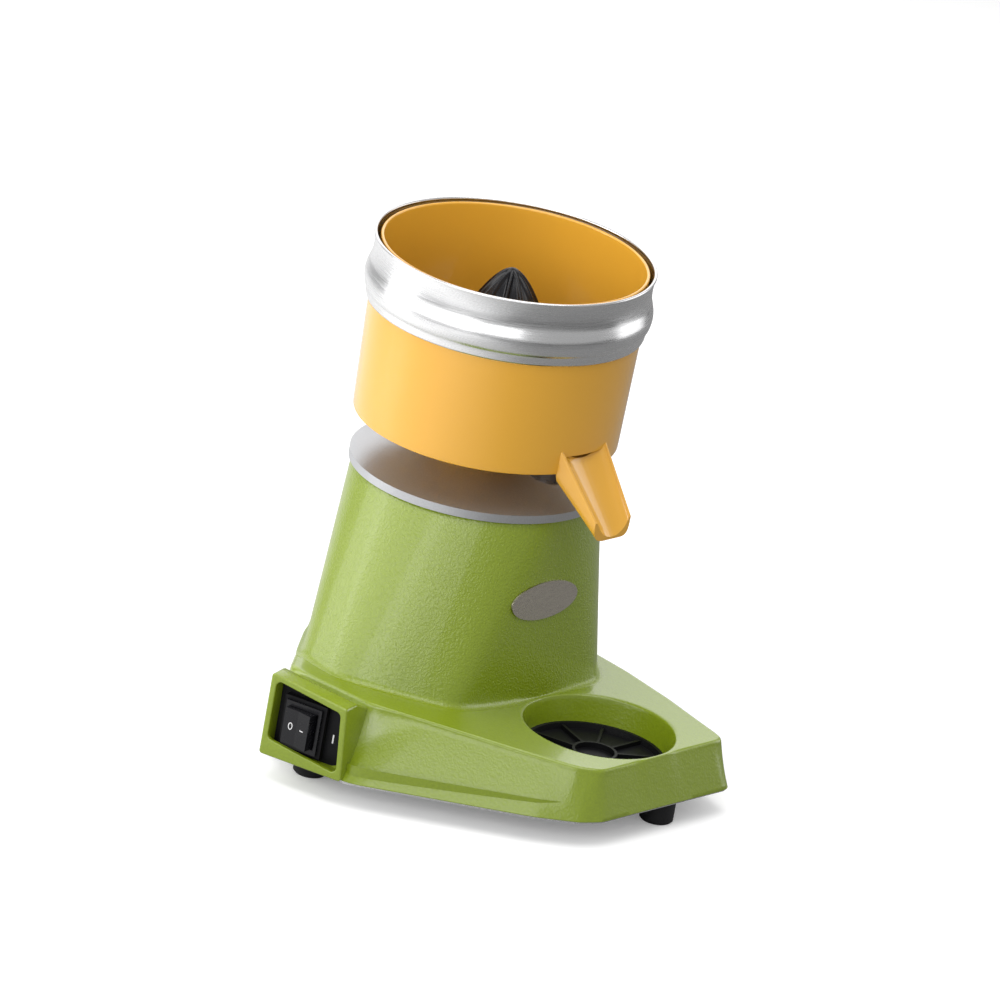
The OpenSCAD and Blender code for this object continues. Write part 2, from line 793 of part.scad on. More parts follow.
module bearing_bracket() {
    color("gray") placed() difference() {
        translate([0, 0, bracket_z]) {
            rod(bearing_r + bracket_t, bracket_boss_h);
            around(4) translate([0, -boss_r, 0]) cube([tie_at, 2 * boss_r, bracket_t]);
            around(4) translate([tie_at, 0, 0]) rod(boss_r, bracket_t);
        }
        translate([0, 0, lower_bearing_z]) rod(bearing_r, bracket_boss_h);
        translate([0, 0, bracket_z - over]) rod(shaft_r + shaft_clear, bracket_boss_h);
        around(4) translate([tie_at, 0, bracket_z - over]) rod(tie_r, bracket_t + 2 * over);
    }
}

module tie_rods() {
    color("silver") placed() around(4) translate([tie_at, 0, bracket_z - nut_h - rod_end])
        rod(tie_r, flange_z + tie_bite - bracket_z + nut_h + rod_end);
}

module tie_rod_nuts() {
    color("lightgray") placed() around(4) translate([tie_at, 0, bracket_z - nut_h]) difference() {
        cylinder(r = nut_r, h = nut_h, $fn = 6);
        translate([0, 0, -over]) rod(tie_r, nut_h + 2 * over);
    }
}

module stator_core() {
    color("gray") placed() translate([0, 0, stator_z]) difference() {
        ring(rotor_r + air_gap, stator_r, stator_h);
        around(4) translate([tie_at, 0, -over]) rod(tie_r, stator_h + 2 * over);
    }
}

module stator_windings() {
    color("peru") placed() for (z = [stator_z - coil_h, stator_z + stator_h])
        translate([0, 0, z]) ring(rotor_r + coil_in, rotor_r + coil_in + coil_w, coil_h);
}

module rotor_core() {
    color("gray") placed() translate([0, 0, stator_z]) ring(shaft_r, rotor_r, stator_h);
}

module drive_shaft() {
    color("silver") placed() difference() {
        translate([0, 0, shaft_low]) rod(shaft_r, shaft_top - shaft_low);
        translate([0, shaft_r + over, pin_z]) rotate([90, 0, 0]) rod(pin_r, 2 * (shaft_r + over));
    }
}

module drive_pin() {
    color("silver") placed() translate([0, pin_half, pin_z]) rotate([90, 0, 0])
        rod(pin_r, 2 * pin_half);
}

module cooling_fan() {
    color("dimgray") placed() translate([0, 0, stator_z + stator_h + coil_h + fan_gap]) {
        ring(shaft_r, fan_hub_r, fan_h);
        ring(shaft_r, fan_r, fan_disc);
        around(fan_blades) translate([fan_hub_r - fan_disc, -fan_disc / 2, 0])
            cube([fan_r - fan_hub_r, fan_disc, fan_h]);
    }
}

module capacitor() {
    color("lightgray") placed() translate([cap_x, cap_y + cap_l, cap_z]) rotate([90, 0, 0])
        rod(cap_r, cap_l);
}

module capacitor_clamp() {
    color("lightgray") placed() translate([cap_x, cap_y + (cap_l + clamp_w) / 2, cap_z])
        rotate([90, 0, 0]) ring(cap_r, cap_r + clamp_t, clamp_w);
}

module terminal_block() {
    color("white") placed() translate([block_x, block_y, base_z]) difference() {
        cube([block_w, block_d, block_h]);
        for (i = [0 : block_ways - 1])
            translate([(i + 0.5) * block_w / block_ways, block_d / 2, block_h - block_hole_h])
                rod(block_hole_r, block_hole_h + over);
    }
}

// How far the guard's outside stays within its bead, and at what height above its lower edge
guard_profile = [
    [3.2, 0], [2.8, 4], [2.4, 6], [1.2, 8], [0.4, 11], [0, 15], [0.3, 18.5], [1.4, 22], [2.8, 27],
    [3.4, 33], [3.2, 39], [2.4, 43], [1.8, 45], [2.4, guard_h]];

module splash_guard() {
    color("gainsboro") placed() rotate_extrude() polygon(concat(
        [for (p = guard_profile) [guard_r - p.x, guard_z + p.y]],
        [for (i = [len(guard_profile) - 1 : -1 : 1])
            [guard_r - guard_profile[i].x - guard_wall, guard_z + guard_profile[i].y]],
        [[guard_r - guard_profile[0].x - guard_wall, guard_z + guard_wall],
            [collar_r + play, guard_z + guard_wall], [collar_r + play, guard_z]]));
}

module bowl() {
    skirt_r = hub_r + play;
    color("orange") placed() difference() {
        union() {
            rotate_extrude() polygon([
                [bowl_low_r - bowl_wall, floor_z], [bowl_low_r - bowl_wall, bowl_z],
                [bowl_low_r - edge_soft, bowl_z], [bowl_low_r, bowl_z + edge_soft],
                [bowl_top_r, guard_z], [collar_r, guard_z], [collar_r, total_h - lip_below],
                [collar_r - bowl_wall, total_h - lip_below],
                [bowl_low_r - bowl_wall, floor_top + cove],
                [bowl_low_r - bowl_wall - cove, floor_top], [chimney_r, floor_top],
                [chimney_r, floor_top + chimney_h],
                [chimney_r - bowl_wall, floor_top + chimney_h], [chimney_r - bowl_wall, floor_z],
                [skirt_r, floor_z], [skirt_r, cone_z], [skirt_r + bowl_wall, cone_z],
                [skirt_r + bowl_wall, floor_z]]);
            spout_shell();
            rotate_extrude() polygon([
                [strainer_r - strainer_lip, strainer_z],
                [bowl_inner(strainer_z) + edge_soft, strainer_z - strainer_ledge - strainer_lip],
                [bowl_inner(strainer_z) + edge_soft, strainer_z]]);
        }
        difference() {
            hull() {
                spout_slice(0) channel_section(spout_root_w, spout_root_h);
                spout_slice(1 + over / spout_len) channel_section(spout_tip_w, spout_tip_h);
            }
            translate([0, 0, mouth_z])
                cone(bowl_outer(mouth_z) - seam, bowl_top_r - seam, guard_z - mouth_z);
        }
        hull() for (share = spout_space) spout_slice(share) hollow_section(share);
    }
}

// Places a section across the spout, at a share of the way down its floor
module spout_slice(share) {
    translate([0, -spout_y - spout_len * share, spout_top_z - spout_fall * share])
        rotate([90, 0, 0]) linear_extrude(sliver) children();
}

// The spout's outside, with its sides hanging below the floor
module side_section(half_w, wall_h, hang, foot_share) {
    foot_w = half_w * foot_share;
    bend_w = half_w + spout_wall / 2;
    rim_w = half_w + spout_wall;
    polygon([[-foot_w, -hang], [foot_w, -hang], [bend_w, spout_bend - hang], [rim_w, wall_h],
        [-rim_w, wall_h], [-bend_w, spout_bend - hang]]);
}

// The channel, whose floor is rounded up into its sides
module channel_section(half_w, wall_h) {
    polygon([for (p = channel_shares) [p.x * half_w, p.y * wall_h]]);
}

// The space under the channel's floor, between the hanging sides
module hollow_section(share) {
    half_w = spout_root_w * spout_feet[0] * (1 - share) + spout_tip_w * spout_feet[1] * share
        - spout_wall;
    polygon([[-half_w, -spout_skirt - over], [half_w, -spout_skirt - over], [half_w, -spout_wall],
        [-half_w, -spout_wall]]);
}

// The spout's outside, kept out of the space inside the bowl
module spout_shell() {
    difference() {
        hull() {
            spout_slice(0) side_section(spout_root_w, spout_root_h, spout_skirt, spout_feet[0]);
            spout_slice(1) side_section(spout_tip_w, spout_tip_h, spout_wall, spout_feet[1]);
        }
        translate([0, 0, floor_z]) rod(bowl_low_r - bowl_wall, bowl_h);
    }
}

module strainer() {
    tray_z = strainer_z - strainer_dip;
    neck_r = strainer_hole + strainer_t;
    color("lightgray") placed() difference() {
        rotate_extrude() polygon([
            [strainer_hole, tray_z], [strainer_r - strainer_lip - strainer_slope, tray_z],
            [strainer_r - strainer_lip, strainer_z], [strainer_r, strainer_z],
            [strainer_r, strainer_z + strainer_t],
            [strainer_r - strainer_lip - strainer_t / 2, strainer_z + strainer_t],
            [strainer_r - strainer_lip - strainer_slope - strainer_t / 2, tray_z + strainer_t],
            [neck_r, tray_z + strainer_t], [neck_r, strainer_z + strainer_t],
            [strainer_hole, strainer_z + strainer_t]]);
        around(strainer_slots) translate([slot_in, -slot_w / 2, tray_z - over])
            cube([slot_out - slot_in, slot_w, strainer_t + 2 * over]);
    }
}

module squeezer() {
    color("black") placed() difference() {
        union() {
            squeezer_cone(squeezer_r - rib_proud);
            around(squeezer_ribs) rotate([90, 0, 0]) translate([0, 0, -rib_w / 2])
                linear_extrude(rib_w) polygon(squeezer_outline(squeezer_r));
            translate([0, 0, squeezer_z - squeezer_skirt])
                rod(squeezer_r, squeezer_skirt + sliver);
        }
        translate([0, 0, squeezer_z - squeezer_skirt - over])
            rod(chimney_r + squeezer_gap, squeezer_skirt + squeezer_well + over);
        translate([0, 0, squeezer_z]) rod(shaft_r + run_play, shaft_up + bore_over);
        translate([-pin_r - play, -pin_half - play, squeezer_z])
            cube([2 * (pin_r + play), 2 * (pin_half + play), pin_up + pin_r]);
    }
}

module squeezer_cone(r) { rotate_extrude() polygon(squeezer_outline(r)); }

// The cone's outline, steep at the foot and closing to a point at the tip
function squeezer_outline(r) = concat([[0, squeezer_z]], [for (i = [0 : squeezer_steps])
    [r * pow(1 - i / squeezer_steps, squeezer_power), squeezer_z + squeezer_h * i / squeezer_steps]]);

base_casting();
bottom_cover();
cover_screws();
rubber_feet();
foot_screws();
drip_tray();
cord_gland();
earth_screw();
switch_plate();
switch_body();
switch_bezel();
switch_collar();
switch_rocker();
motor_housing();
housing_bolts();
badge_plate();
top_flange();
flange_gasket();
flange_screws();
shaft_seal();
upper_bearing();
lower_bearing();
bearing_bracket();
tie_rods();
tie_rod_nuts();
stator_core();
stator_windings();
rotor_core();
drive_shaft();
drive_pin();
cooling_fan();
capacitor();
capacitor_clamp();
terminal_block();
splash_guard();
bowl();
strainer();
squeezer();
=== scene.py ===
import bpy
import json
import math
import numpy as np
from mathutils import Matrix, Vector


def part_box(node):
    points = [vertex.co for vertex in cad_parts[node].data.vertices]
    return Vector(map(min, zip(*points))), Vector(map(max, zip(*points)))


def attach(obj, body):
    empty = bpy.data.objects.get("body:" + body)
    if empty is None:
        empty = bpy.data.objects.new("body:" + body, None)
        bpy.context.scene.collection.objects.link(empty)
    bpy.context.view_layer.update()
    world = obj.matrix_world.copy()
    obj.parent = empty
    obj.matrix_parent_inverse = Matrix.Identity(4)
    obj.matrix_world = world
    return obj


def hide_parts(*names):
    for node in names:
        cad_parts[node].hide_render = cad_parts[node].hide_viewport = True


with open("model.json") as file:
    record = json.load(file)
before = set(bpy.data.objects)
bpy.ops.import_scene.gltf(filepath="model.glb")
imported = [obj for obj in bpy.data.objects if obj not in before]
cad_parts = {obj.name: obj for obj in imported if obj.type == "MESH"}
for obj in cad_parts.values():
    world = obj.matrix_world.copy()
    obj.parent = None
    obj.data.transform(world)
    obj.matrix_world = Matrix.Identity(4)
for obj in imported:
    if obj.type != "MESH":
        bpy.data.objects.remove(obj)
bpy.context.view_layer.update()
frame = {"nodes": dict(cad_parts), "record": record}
print("frame loaded,", len(frame["nodes"]), "nodes")

mm = 0.001
tiny = 1e-6
shaftLow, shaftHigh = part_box("drive_shaft")
axisX = (shaftLow[0] + shaftHigh[0]) / 2 / mm      # the spindle's place in the frame
axisY = (shaftLow[1] + shaftHigh[1]) / 2 / mm


# meshes from numpy grids

def meshFrom(name, points, faces, sharpAngle=40):
    # points are mm from the spindle's axis, faces are rows of point numbers
    place = (points + np.array([axisX, axisY, 0.0])) * mm
    mesh = bpy.data.meshes.new(name)
    mesh.from_pydata(place.tolist(), [], [list(face) for face in faces])
    mesh.validate()
    mesh.polygons.foreach_set("use_smooth", np.ones(len(mesh.polygons), dtype=bool))
    mesh.set_sharp_from_angle(angle=math.radians(sharpAngle))
    piece = bpy.data.objects.new(name, mesh)
    bpy.context.scene.collection.objects.link(piece)
    return piece


def gridFaces(rows, columns, flip=False):
    # each quad joins a point to its neighbour along the closed row and to both in the next row
    row = np.arange(rows - 1)[:, None]
    column = np.arange(columns)[None, :]
    after = (column + 1) % columns
    a = row * columns + column
    b = row * columns + after
    c = (row + 1) * columns + after
    d = (row + 1) * columns + column
    quads = np.stack([a, b, c, d], axis=-1).reshape(-1, 4)
    return quads[:, ::-1] if flip else quads


def ringPiece(name, rings, flip=False, closeFirst=False, closeLast=False, sharpAngle=40):
    # closed rings of points, each joined to the next, with a face across the first or the last
    grid = np.array(rings)
    rows, columns = grid.shape[:2]
    faces = gridFaces(rows, columns, flip).tolist()
    across = list(range(columns))
    if closeLast:
        faces.append([(rows - 1) * columns + i for i in across])
    if closeFirst:
        faces.append(across if flip else across[::-1])
    return meshFrom(name, grid.reshape(-1, 3), faces, sharpAngle)


def onceRound(start, count):
    # equal steps of angle, once round
    return np.linspace(start, start + 2 * np.pi, count, endpoint=False)


def ringAt(cos, sin, reach, height, middle=(0, 0)):
    # a ring whose reach and height are one number each, or one for each direction
    reach = reach + 0 * cos
    return np.stack([middle[0] + reach * cos, middle[1] + reach * sin, height + 0 * cos], axis=1)


def latheRings(profile, columns):
    # a profile of radius and height turned about the spindle
    turns = onceRound(0, columns)
    return [ringAt(np.cos(turns), np.sin(turns), r, z) for r, z in profile]


def smoothCurve(points, count):
    # a cubic through the points, with each point's slope taken from its two neighbours
    points = np.array(points, dtype=float)
    slope = np.gradient(points, axis=0)
    where = np.linspace(0, len(points) - 1, count)
    start = np.minimum(where.astype(int), len(points) - 2)
    t = (where - start)[:, None]
    p, q, m, n = points[start], points[start + 1], slope[start], slope[start + 1]
    return ((2 * t**3 - 3 * t**2 + 1) * p + (t**3 - 2 * t**2 + t) * m
            + (3 * t**2 - 2 * t**3) * q + (t**3 - t**2) * n)


def arcCorner(centre, radius, fromDeg, toDeg, count):
    # points on a circle, from one angle to another
    angle = np.radians(np.linspace(fromDeg, toDeg, count))
    return np.stack([centre[0] + radius * np.cos(angle), centre[1] + radius * np.sin(angle)], axis=1)


def spreadShares(shares, left, right, front, rear):
    # points given as shares of the reach to each of the four sides
    x, y = shares.T
    return np.stack([x * np.where(x < 0, left, right), y * np.where(y < 0, front, rear)], axis=1)


def roundHull(centres, radius, normals):
    # the hull of equal circles: for each outward normal, the furthest centre plus the radius
    out = np.stack([np.cos(normals), np.sin(normals)], axis=1)
    return centres[np.argmax(out @ centres.T, axis=1)] + radius * out


def blurRing(values, width):
    # a running mean round a closed ring, twice over
    kernel = np.ones(2 * width + 1) / (2 * width + 1)
    for _ in range(2):
        wide = np.concatenate([values[-width:], values, values[:width]])
        values = np.convolve(wide, kernel, mode="valid")
    return values


# materials

def newMaterial(name, colour, roughness, metallic=0.0, coat=0.0, coatRoughness=0.03, specular=0.5):
    material = bpy.data.materials.new(name)
    material.use_nodes = True
    shader = material.node_tree.nodes["Principled BSDF"]
    shader.inputs["Base Color"].default_value = (*colour, 1)
    shader.inputs["Roughness"].default_value = roughness
    shader.inputs["Metallic"].default_value = metallic
    shader.inputs["Coat Weight"].default_value = coat
    shader.inputs["Coat Roughness"].default_value = coatRoughness
    shader.inputs["Specular IOR Level"].default_value = specular
    return material, material.node_tree, shader


def newGroup(name, **inputs):
    # a node group of plain numbers that puts out a normal and a mask
    group = bpy.data.node_groups.new(name, "ShaderNodeTree")
    for label, value in inputs.items():
        socket = group.interface.new_socket(name=label, in_out="INPUT", socket_type="NodeSocketFloat")
        socket.default_value = value
    for label, kind in (("Normal", "NodeSocketVector"), ("Mask", "NodeSocketFloat")):
        group.interface.new_socket(name=label, in_out="OUTPUT", socket_type=kind)
    return group, group.nodes.new("NodeGroupInput"), group.nodes.new("NodeGroupOutput")


def addNodes(tree, *kinds):
    return [tree.nodes.new("ShaderNode" + kind) for kind in kinds]


def join(tree, *wires):
    # each wire runs from one node's output to another node's input
    for fromNode, output, toNode, target in wires:
        tree.links.new(fromNode.outputs[output], toNode.inputs[target])


def setRange(node, fromRange, toRange):
    for side, values in (("From", fromRange), ("To", toRange)):
        for end, value in zip(("Min", "Max"), values):
            node.inputs[side + " " + end].default_value = value


def makeGrainGroup():
    # noise as relief
    group, come, go = newGroup("surfaceGrain", Size=400.0, Detail=2.0, Relief=0.1, Depth=0.0005)
    place, noise, bump = addNodes(group, "TexCoord", "TexNoise", "Bump")
    join(group, (place, "Object", noise, "Vector"), (come, "Size", noise, "Scale"),
         (come, "Detail", noise, "Detail"), (come, "Relief", bump, "Strength"),
         (come, "Depth", bump, "Distance"), (noise, "Fac", bump, "Height"),
         (bump, "Normal", go, "Normal"), (noise, "Fac", go, "Mask"))
    return group


dimples = {"softness": 0.6, "bendSize": 260, "bendBy": 0.004, "fineSize": 900, "fineShare": 0.35}


def makeHammerGroup():
    # shallow dimples in the middles of a cell pattern bent by noise, with finer noise over them
    group, come, go = newGroup("hammeredEnamel", Size=300.0, Relief=0.3, Depth=0.0006)
    place, bend, mixed, scaled, cells, fine, total, bump = addNodes(
        group, "TexCoord", "TexNoise", "VectorMath", "VectorMath", "TexVoronoi", "TexNoise", "Math", "Bump")
    cells.feature = "SMOOTH_F1"
    cells.inputs["Smoothness"].default_value = dimples["softness"]
    bend.inputs["Scale"].default_value = dimples["bendSize"]
    fine.inputs["Scale"].default_value = dimples["fineSize"]
    scaled.operation = "SCALE"
    scaled.inputs["Scale"].default_value = dimples["bendBy"]
    mixed.operation = "ADD"
    total.operation = "MULTIPLY_ADD"
    total.inputs[1].default_value = dimples["fineShare"]
    join(group, (place, "Object", bend, "Vector"), (place, "Object", fine, "Vector"),
         (bend, "Color", scaled, 0), (place, "Object", mixed, 0), (scaled, "Vector", mixed, 1),
         (mixed, "Vector", cells, "Vector"), (come, "Size", cells, "Scale"), (fine, "Fac", total, 0),
         (cells, "Distance", total, 2), (come, "Relief", bump, "Strength"),
         (come, "Depth", bump, "Distance"), (total, "Value", bump, "Height"),
         (bump, "Normal", go, "Normal"), (cells, "Distance", go, "Mask"))
    return group


strokes = {"detail": 2, "depth": 0.0002}


def makeBrushGroup():
    # noise drawn out round the spindle: angle, height and radius of the point, each stretched
    group, come, go = newGroup("brushedRound", Around=4.0, Across=1500.0, Relief=0.05)
    place, centre, apart, angle, radius, flat = addNodes(
        group, "TexCoord", "Mapping", "SeparateXYZ", "Math", "VectorMath", "CombineXYZ")
    stretch = addNodes(group, "Math", "Math", "Math")
    together, noise, bump = addNodes(group, "CombineXYZ", "TexNoise", "Bump")
    centre.vector_type = "POINT"
    centre.inputs["Location"].default_value = (-axisX * mm, -axisY * mm, 0)
    angle.operation = "ARCTAN2"
    radius.operation = "LENGTH"
    noise.inputs["Scale"].default_value = 1
    noise.inputs["Detail"].default_value = strokes["detail"]
    bump.inputs["Distance"].default_value = strokes["depth"]
    join(group, (place, "Object", centre, "Vector"), (centre, "Vector", apart, 0),
         (apart, "Y", angle, 0), (apart, "X", angle, 1), (apart, "X", flat, "X"), (apart, "Y", flat, "Y"),
         (flat, "Vector", radius, 0))
    measures = ((angle, "Value", "Around"), (apart, "Z", "Across"), (radius, "Value", "Across"))
    for step, axis, (source, output, factor) in zip(stretch, "XYZ", measures):
        step.operation = "MULTIPLY"
        join(group, (source, output, step, 0), (come, factor, step, 1), (step, "Value", together, axis))
    join(group, (together, "Vector", noise, "Vector"), (noise, "Fac", bump, "Height"),
         (come, "Relief", bump, "Strength"), (bump, "Normal", go, "Normal"), (noise, "Fac", go, "Mask"))
    return group


grainGroup = makeGrainGroup()
hammerGroup = makeHammerGroup()
brushGroup = makeBrushGroup()


def useGroup(tree, group, **values):
    node = tree.nodes.new("ShaderNodeGroup")
    node.node_tree = group
    for label, value in values.items():
        node.inputs[label].default_value = value
    return node


def maskTo(tree, mask, socket, low, high, used=(0.3, 0.7)):
    # spreads the middle of a mask over a range of values
    spread = tree.nodes.new("ShaderNodeMapRange")
    setRange(spread, used, (low, high))
    tree.links.new(mask, spread.inputs["Value"])
    tree.links.new(spread.outputs["Result"], socket)


# sockets of a Mix node that is set to colour
firstColour, secondColour, mixedColour = 6, 7, 2


def maskToColour(tree, mask, socket, low, high):
    # mixes two colours by a mask
    mix = tree.nodes.new("ShaderNodeMix")
    mix.data_type = "RGBA"
    mix.inputs[firstColour].default_value = (*low, 1)
    mix.inputs[secondColour].default_value = (*high, 1)
    tree.links.new(mask, mix.inputs["Factor"])
    tree.links.new(mix.outputs[mixedColour], socket)


def grainMaterial(name, colour, roughness, size=400.0, relief=0.1, depth=0.0005, vary=0.04,
                  tint=0.06, **more):
    material, tree, shader = newMaterial(name, colour, roughness, **more)
    grain = useGroup(tree, grainGroup, Size=size, Relief=relief, Depth=depth)
    tree.links.new(grain.outputs["Normal"], shader.inputs["Normal"])
    maskTo(tree, grain.outputs["Mask"], shader.inputs["Roughness"], roughness - vary, roughness + vary)
    darker = tuple(c * (1 - tint) for c in colour)
    lighter = tuple(min(1, c * (1 + tint)) for c in colour)
    maskToColour(tree, grain.outputs["Mask"], shader.inputs["Base Color"], darker, lighter)
    return material


def hammeredMaterial(name, colour, roughness, size, relief, light=1.05, dark=0.9, **more):
    material, tree, shader = newMaterial(name, colour, roughness, **more)
    hammer = useGroup(tree, hammerGroup, Size=size, Relief=relief)
    tree.links.new(hammer.outputs["Normal"], shader.inputs["Normal"])
    maskToColour(tree, hammer.outputs["Mask"], shader.inputs["Base Color"],
                 tuple(c * light for c in colour), tuple(c * dark for c in colour))
    return material


def brushedMaterial(name, colour, roughness, around=4.0, across=1500.0, relief=0.05, vary=0.06,
                    dark=0.92):
    material, tree, shader = newMaterial(name, colour, roughness, metallic=1.0)
    brush = useGroup(tree, brushGroup, Around=around, Across=across, Relief=relief)
    tree.links.new(brush.outputs["Normal"], shader.inputs["Normal"])
    maskTo(tree, brush.outputs["Mask"], shader.inputs["Roughness"], roughness - vary, roughness + vary)
    maskToColour(tree, brush.outputs["Mask"], shader.inputs["Base Color"],
                 tuple(c * dark for c in colour), colour)
    return material


finishes = {
    "green_enamel": hammeredMaterial("greenEnamel", (0.2, 0.272, 0.008), 0.3, 620.0, 0.5, coat=0.3,
                                     coatRoughness=0.1, specular=0.6),
    "yellow_plastic": grainMaterial("yellowPlastic", (0.7, 0.36, 0.035), 0.22, size=900.0, relief=0.02,
                                    depth=0.0002, vary=0.02, tint=0.01, coat=0.35),
    "sheet_steel": brushedMaterial("sheetSteel", (0.68, 0.68, 0.685), 0.26),
    "cast_aluminium": grainMaterial("castAluminium", (0.42, 0.425, 0.44), 0.32, size=900.0, relief=0.3,
                                    depth=0.0004, metallic=0.8, tint=0.12),
    "bright_steel": grainMaterial("brightSteel", (0.62, 0.62, 0.63), 0.28, size=600.0, metallic=1.0),
    "core_steel": grainMaterial("coreSteel", (0.2, 0.2, 0.21), 0.45, size=900.0, metallic=1.0),
    "copper": grainMaterial("copperWire", (0.6, 0.24, 0.08), 0.35, size=1500.0, relief=0.4, metallic=1.0),
    "black_plastic": grainMaterial("blackPlastic", (0.006, 0.006, 0.007), 0.45, size=1400.0, relief=0.12,
                                   specular=0.15),
    "dark_plastic": grainMaterial("darkPlastic", (0.006, 0.006, 0.008), 0.24, size=700.0, relief=0.04,
                                  specular=0.35),
    "white_plastic": grainMaterial("whitePlastic", (0.75, 0.75, 0.7), 0.4),
    "brass": grainMaterial("brassPlain", (0.7, 0.48, 0.16), 0.3, metallic=1.0),
    "black_rubber": grainMaterial("blackRubber", (0.01, 0.01, 0.011), 0.6, size=900.0, relief=0.2,
                                  specular=0.3),
}
greenSmooth = hammeredMaterial("greenSmooth", (0.2, 0.272, 0.008), 0.26, 560.0, 0.2, coat=0.3,
                               coatRoughness=0.08, specular=0.6)
badgeSteel = brushedMaterial("badgeSteel", (0.5, 0.46, 0.4), 0.3, around=8.0, across=900.0)
printWhite = grainMaterial("printWhite", (0.75, 0.75, 0.75), 0.4)

slotOf = {part["node"]: part["material_slot"] for part in frame["record"]["subparts"]}
ownFinish = {"badge_plate": badgeSteel}
for nodeName, node in frame["nodes"].items():
    node.data.materials.clear()
    node.data.materials.append(ownFinish.get(nodeName, finishes[slotOf[nodeName]]))
print("materials made")


def finishPiece(piece, material, body, slotName, *replaced):
    piece.data.materials.append(material)
    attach(piece, body)
    if replaced:
        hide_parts(*replaced)


# base casting

base = {
    "left": 189, "right": 98, "front": 220.5, "rear": 97,
    "low": 18, "deck": 52.5, "rise": 14, "draft": 11, "farDraft": 4, "corner": 8, "edge": 3,
    "cup": (-4, -153), "cupR": 54.5, "cupFloorR": 49, "cupDepth": 25, "lip": 2.2,
    "floorRings": (0.01, 15, 30), "cove": 3.2, "coveIn": 2.5, "lipIn": 0.75, "lipDrop": 1.6, "lipBend": 0.9,
    "lipStart": 0.15, "leastDeck": 0.15, "rimGap": 1.0, "edgeTurn": 0.85, "edgeDrop": 1.13,
    "blend": 6.0, "blendFade": 90, "frontShare": -0.2, "trim": 0.1, "coveStart": 0.1,
    "wall": 4, "rimHigh": (0.8, 0.2), "rimIn": (0.25, 0.9), "inside": (1.5, 12),
    "rays": 560, "normals": 1440, "blur": 2, "edgeBlur": 3,
    "steps": {"cove": 6, "cone": 8, "lip": 6, "deck": 70, "edge": 9, "wall": 14},
    "shares": [(-0.35, -1), (0.69, -1), (0.86, -0.69), (0.95, -0.45), (1, -0.14), (1, 0.2),
               (0.86, 0.72), (0.46, 1), (-0.02, 1), (-0.28, 0.86), (-0.51, 0.46), (-0.78, 0.07),
               (-0.93, -0.04), (-1, -0.41), (-0.68, -0.73), (-0.55, -0.875), (-0.42, -0.975)],
    "leans": [1, 1, 1, 1, 1, 1, 1, 1, 1, 1, 1, 1.5, 3, 2.5, 2.8, 2.2, 1.3],
    "rises": [0, 0, 0, 0, 0, 0, 0, 0, 0, 0.1, 0.3, 0.7, 0.95, 1, 0.4, 0.15, 0],
    "shoulder": range(8, 17),
}


def baseCorners(draft, farDraft):
    # each corner is a share of the four reaches, which shrink by its own share of the lean
    share = np.array(base["shares"], dtype=float)
    near = base["corner"] + np.array(base["leans"]) * draft
    far = base["corner"] + np.array(base["leans"]) * farDraft
    left = base["left"] - np.where(share[:, 1] > base["frontShare"], far, near)
    return spreadShares(share, left, base["right"] - far, base["front"] - near, base["rear"] - far)


def shoulderPlanes():
    # the upper faces of the hull over the shoulder's corners, as planes z = a x + b y + c
    corners = baseCorners(base["draft"], base["farDraft"])
    which = list(base["shoulder"])
    flat = corners[which]
    top = base["deck"] + np.array(base["rises"])[which] * base["rise"]
    planes = []
    small = base["corner"] - base["edge"]
    for i in range(len(which)):
        for j in range(i + 1, len(which)):
            for k in range(j + 1, len(which)):
                rows = np.c_[flat[[i, j, k]], np.ones(3)]
                if abs(np.linalg.det(rows)) < 1:
                    continue
                a, b, c = np.linalg.solve(rows, top[[i, j, k]])
                if np.all(top <= flat @ np.array([a, b]) + c + tiny):
                    planes.append((a, b, c + small * math.hypot(a, b)))
    return planes


deckPlanes = shoulderPlanes()


def deckHeight(x, y):
    # the flat deck or the lowest of the shoulder's planes, whichever is higher, blended softly
    shoulder = np.min([a * x + b * y + c for a, b, c in deckPlanes], axis=0)
    gap = shoulder - base["deck"]
    extra = 0.5 * np.sqrt(base["blend"]) * np.exp(-gap**2 / base["blendFade"])
    return base["deck"] + 0.5 * (gap + np.sqrt(gap**2 + base["blend"])) - extra


def reachRound(centre, outlinePoints, turns, perSide=24):
    # distance from a centre to a closed outline, along each direction
    following = np.roll(outlinePoints, -1, axis=0)
    part = np.linspace(0, 1, perSide, endpoint=False)[:, None, None]
    dense = (outlinePoints + part * (following - outlinePoints)).transpose(1, 0, 2).reshape(-1, 2)
    away = dense - np.array(centre)
    angle = np.arctan2(away[:, 1], away[:, 0])
    order = np.argsort(angle)
    return np.interp(turns, angle[order], np.hypot(away[:, 0], away[:, 1])[order], period=2 * np.pi)


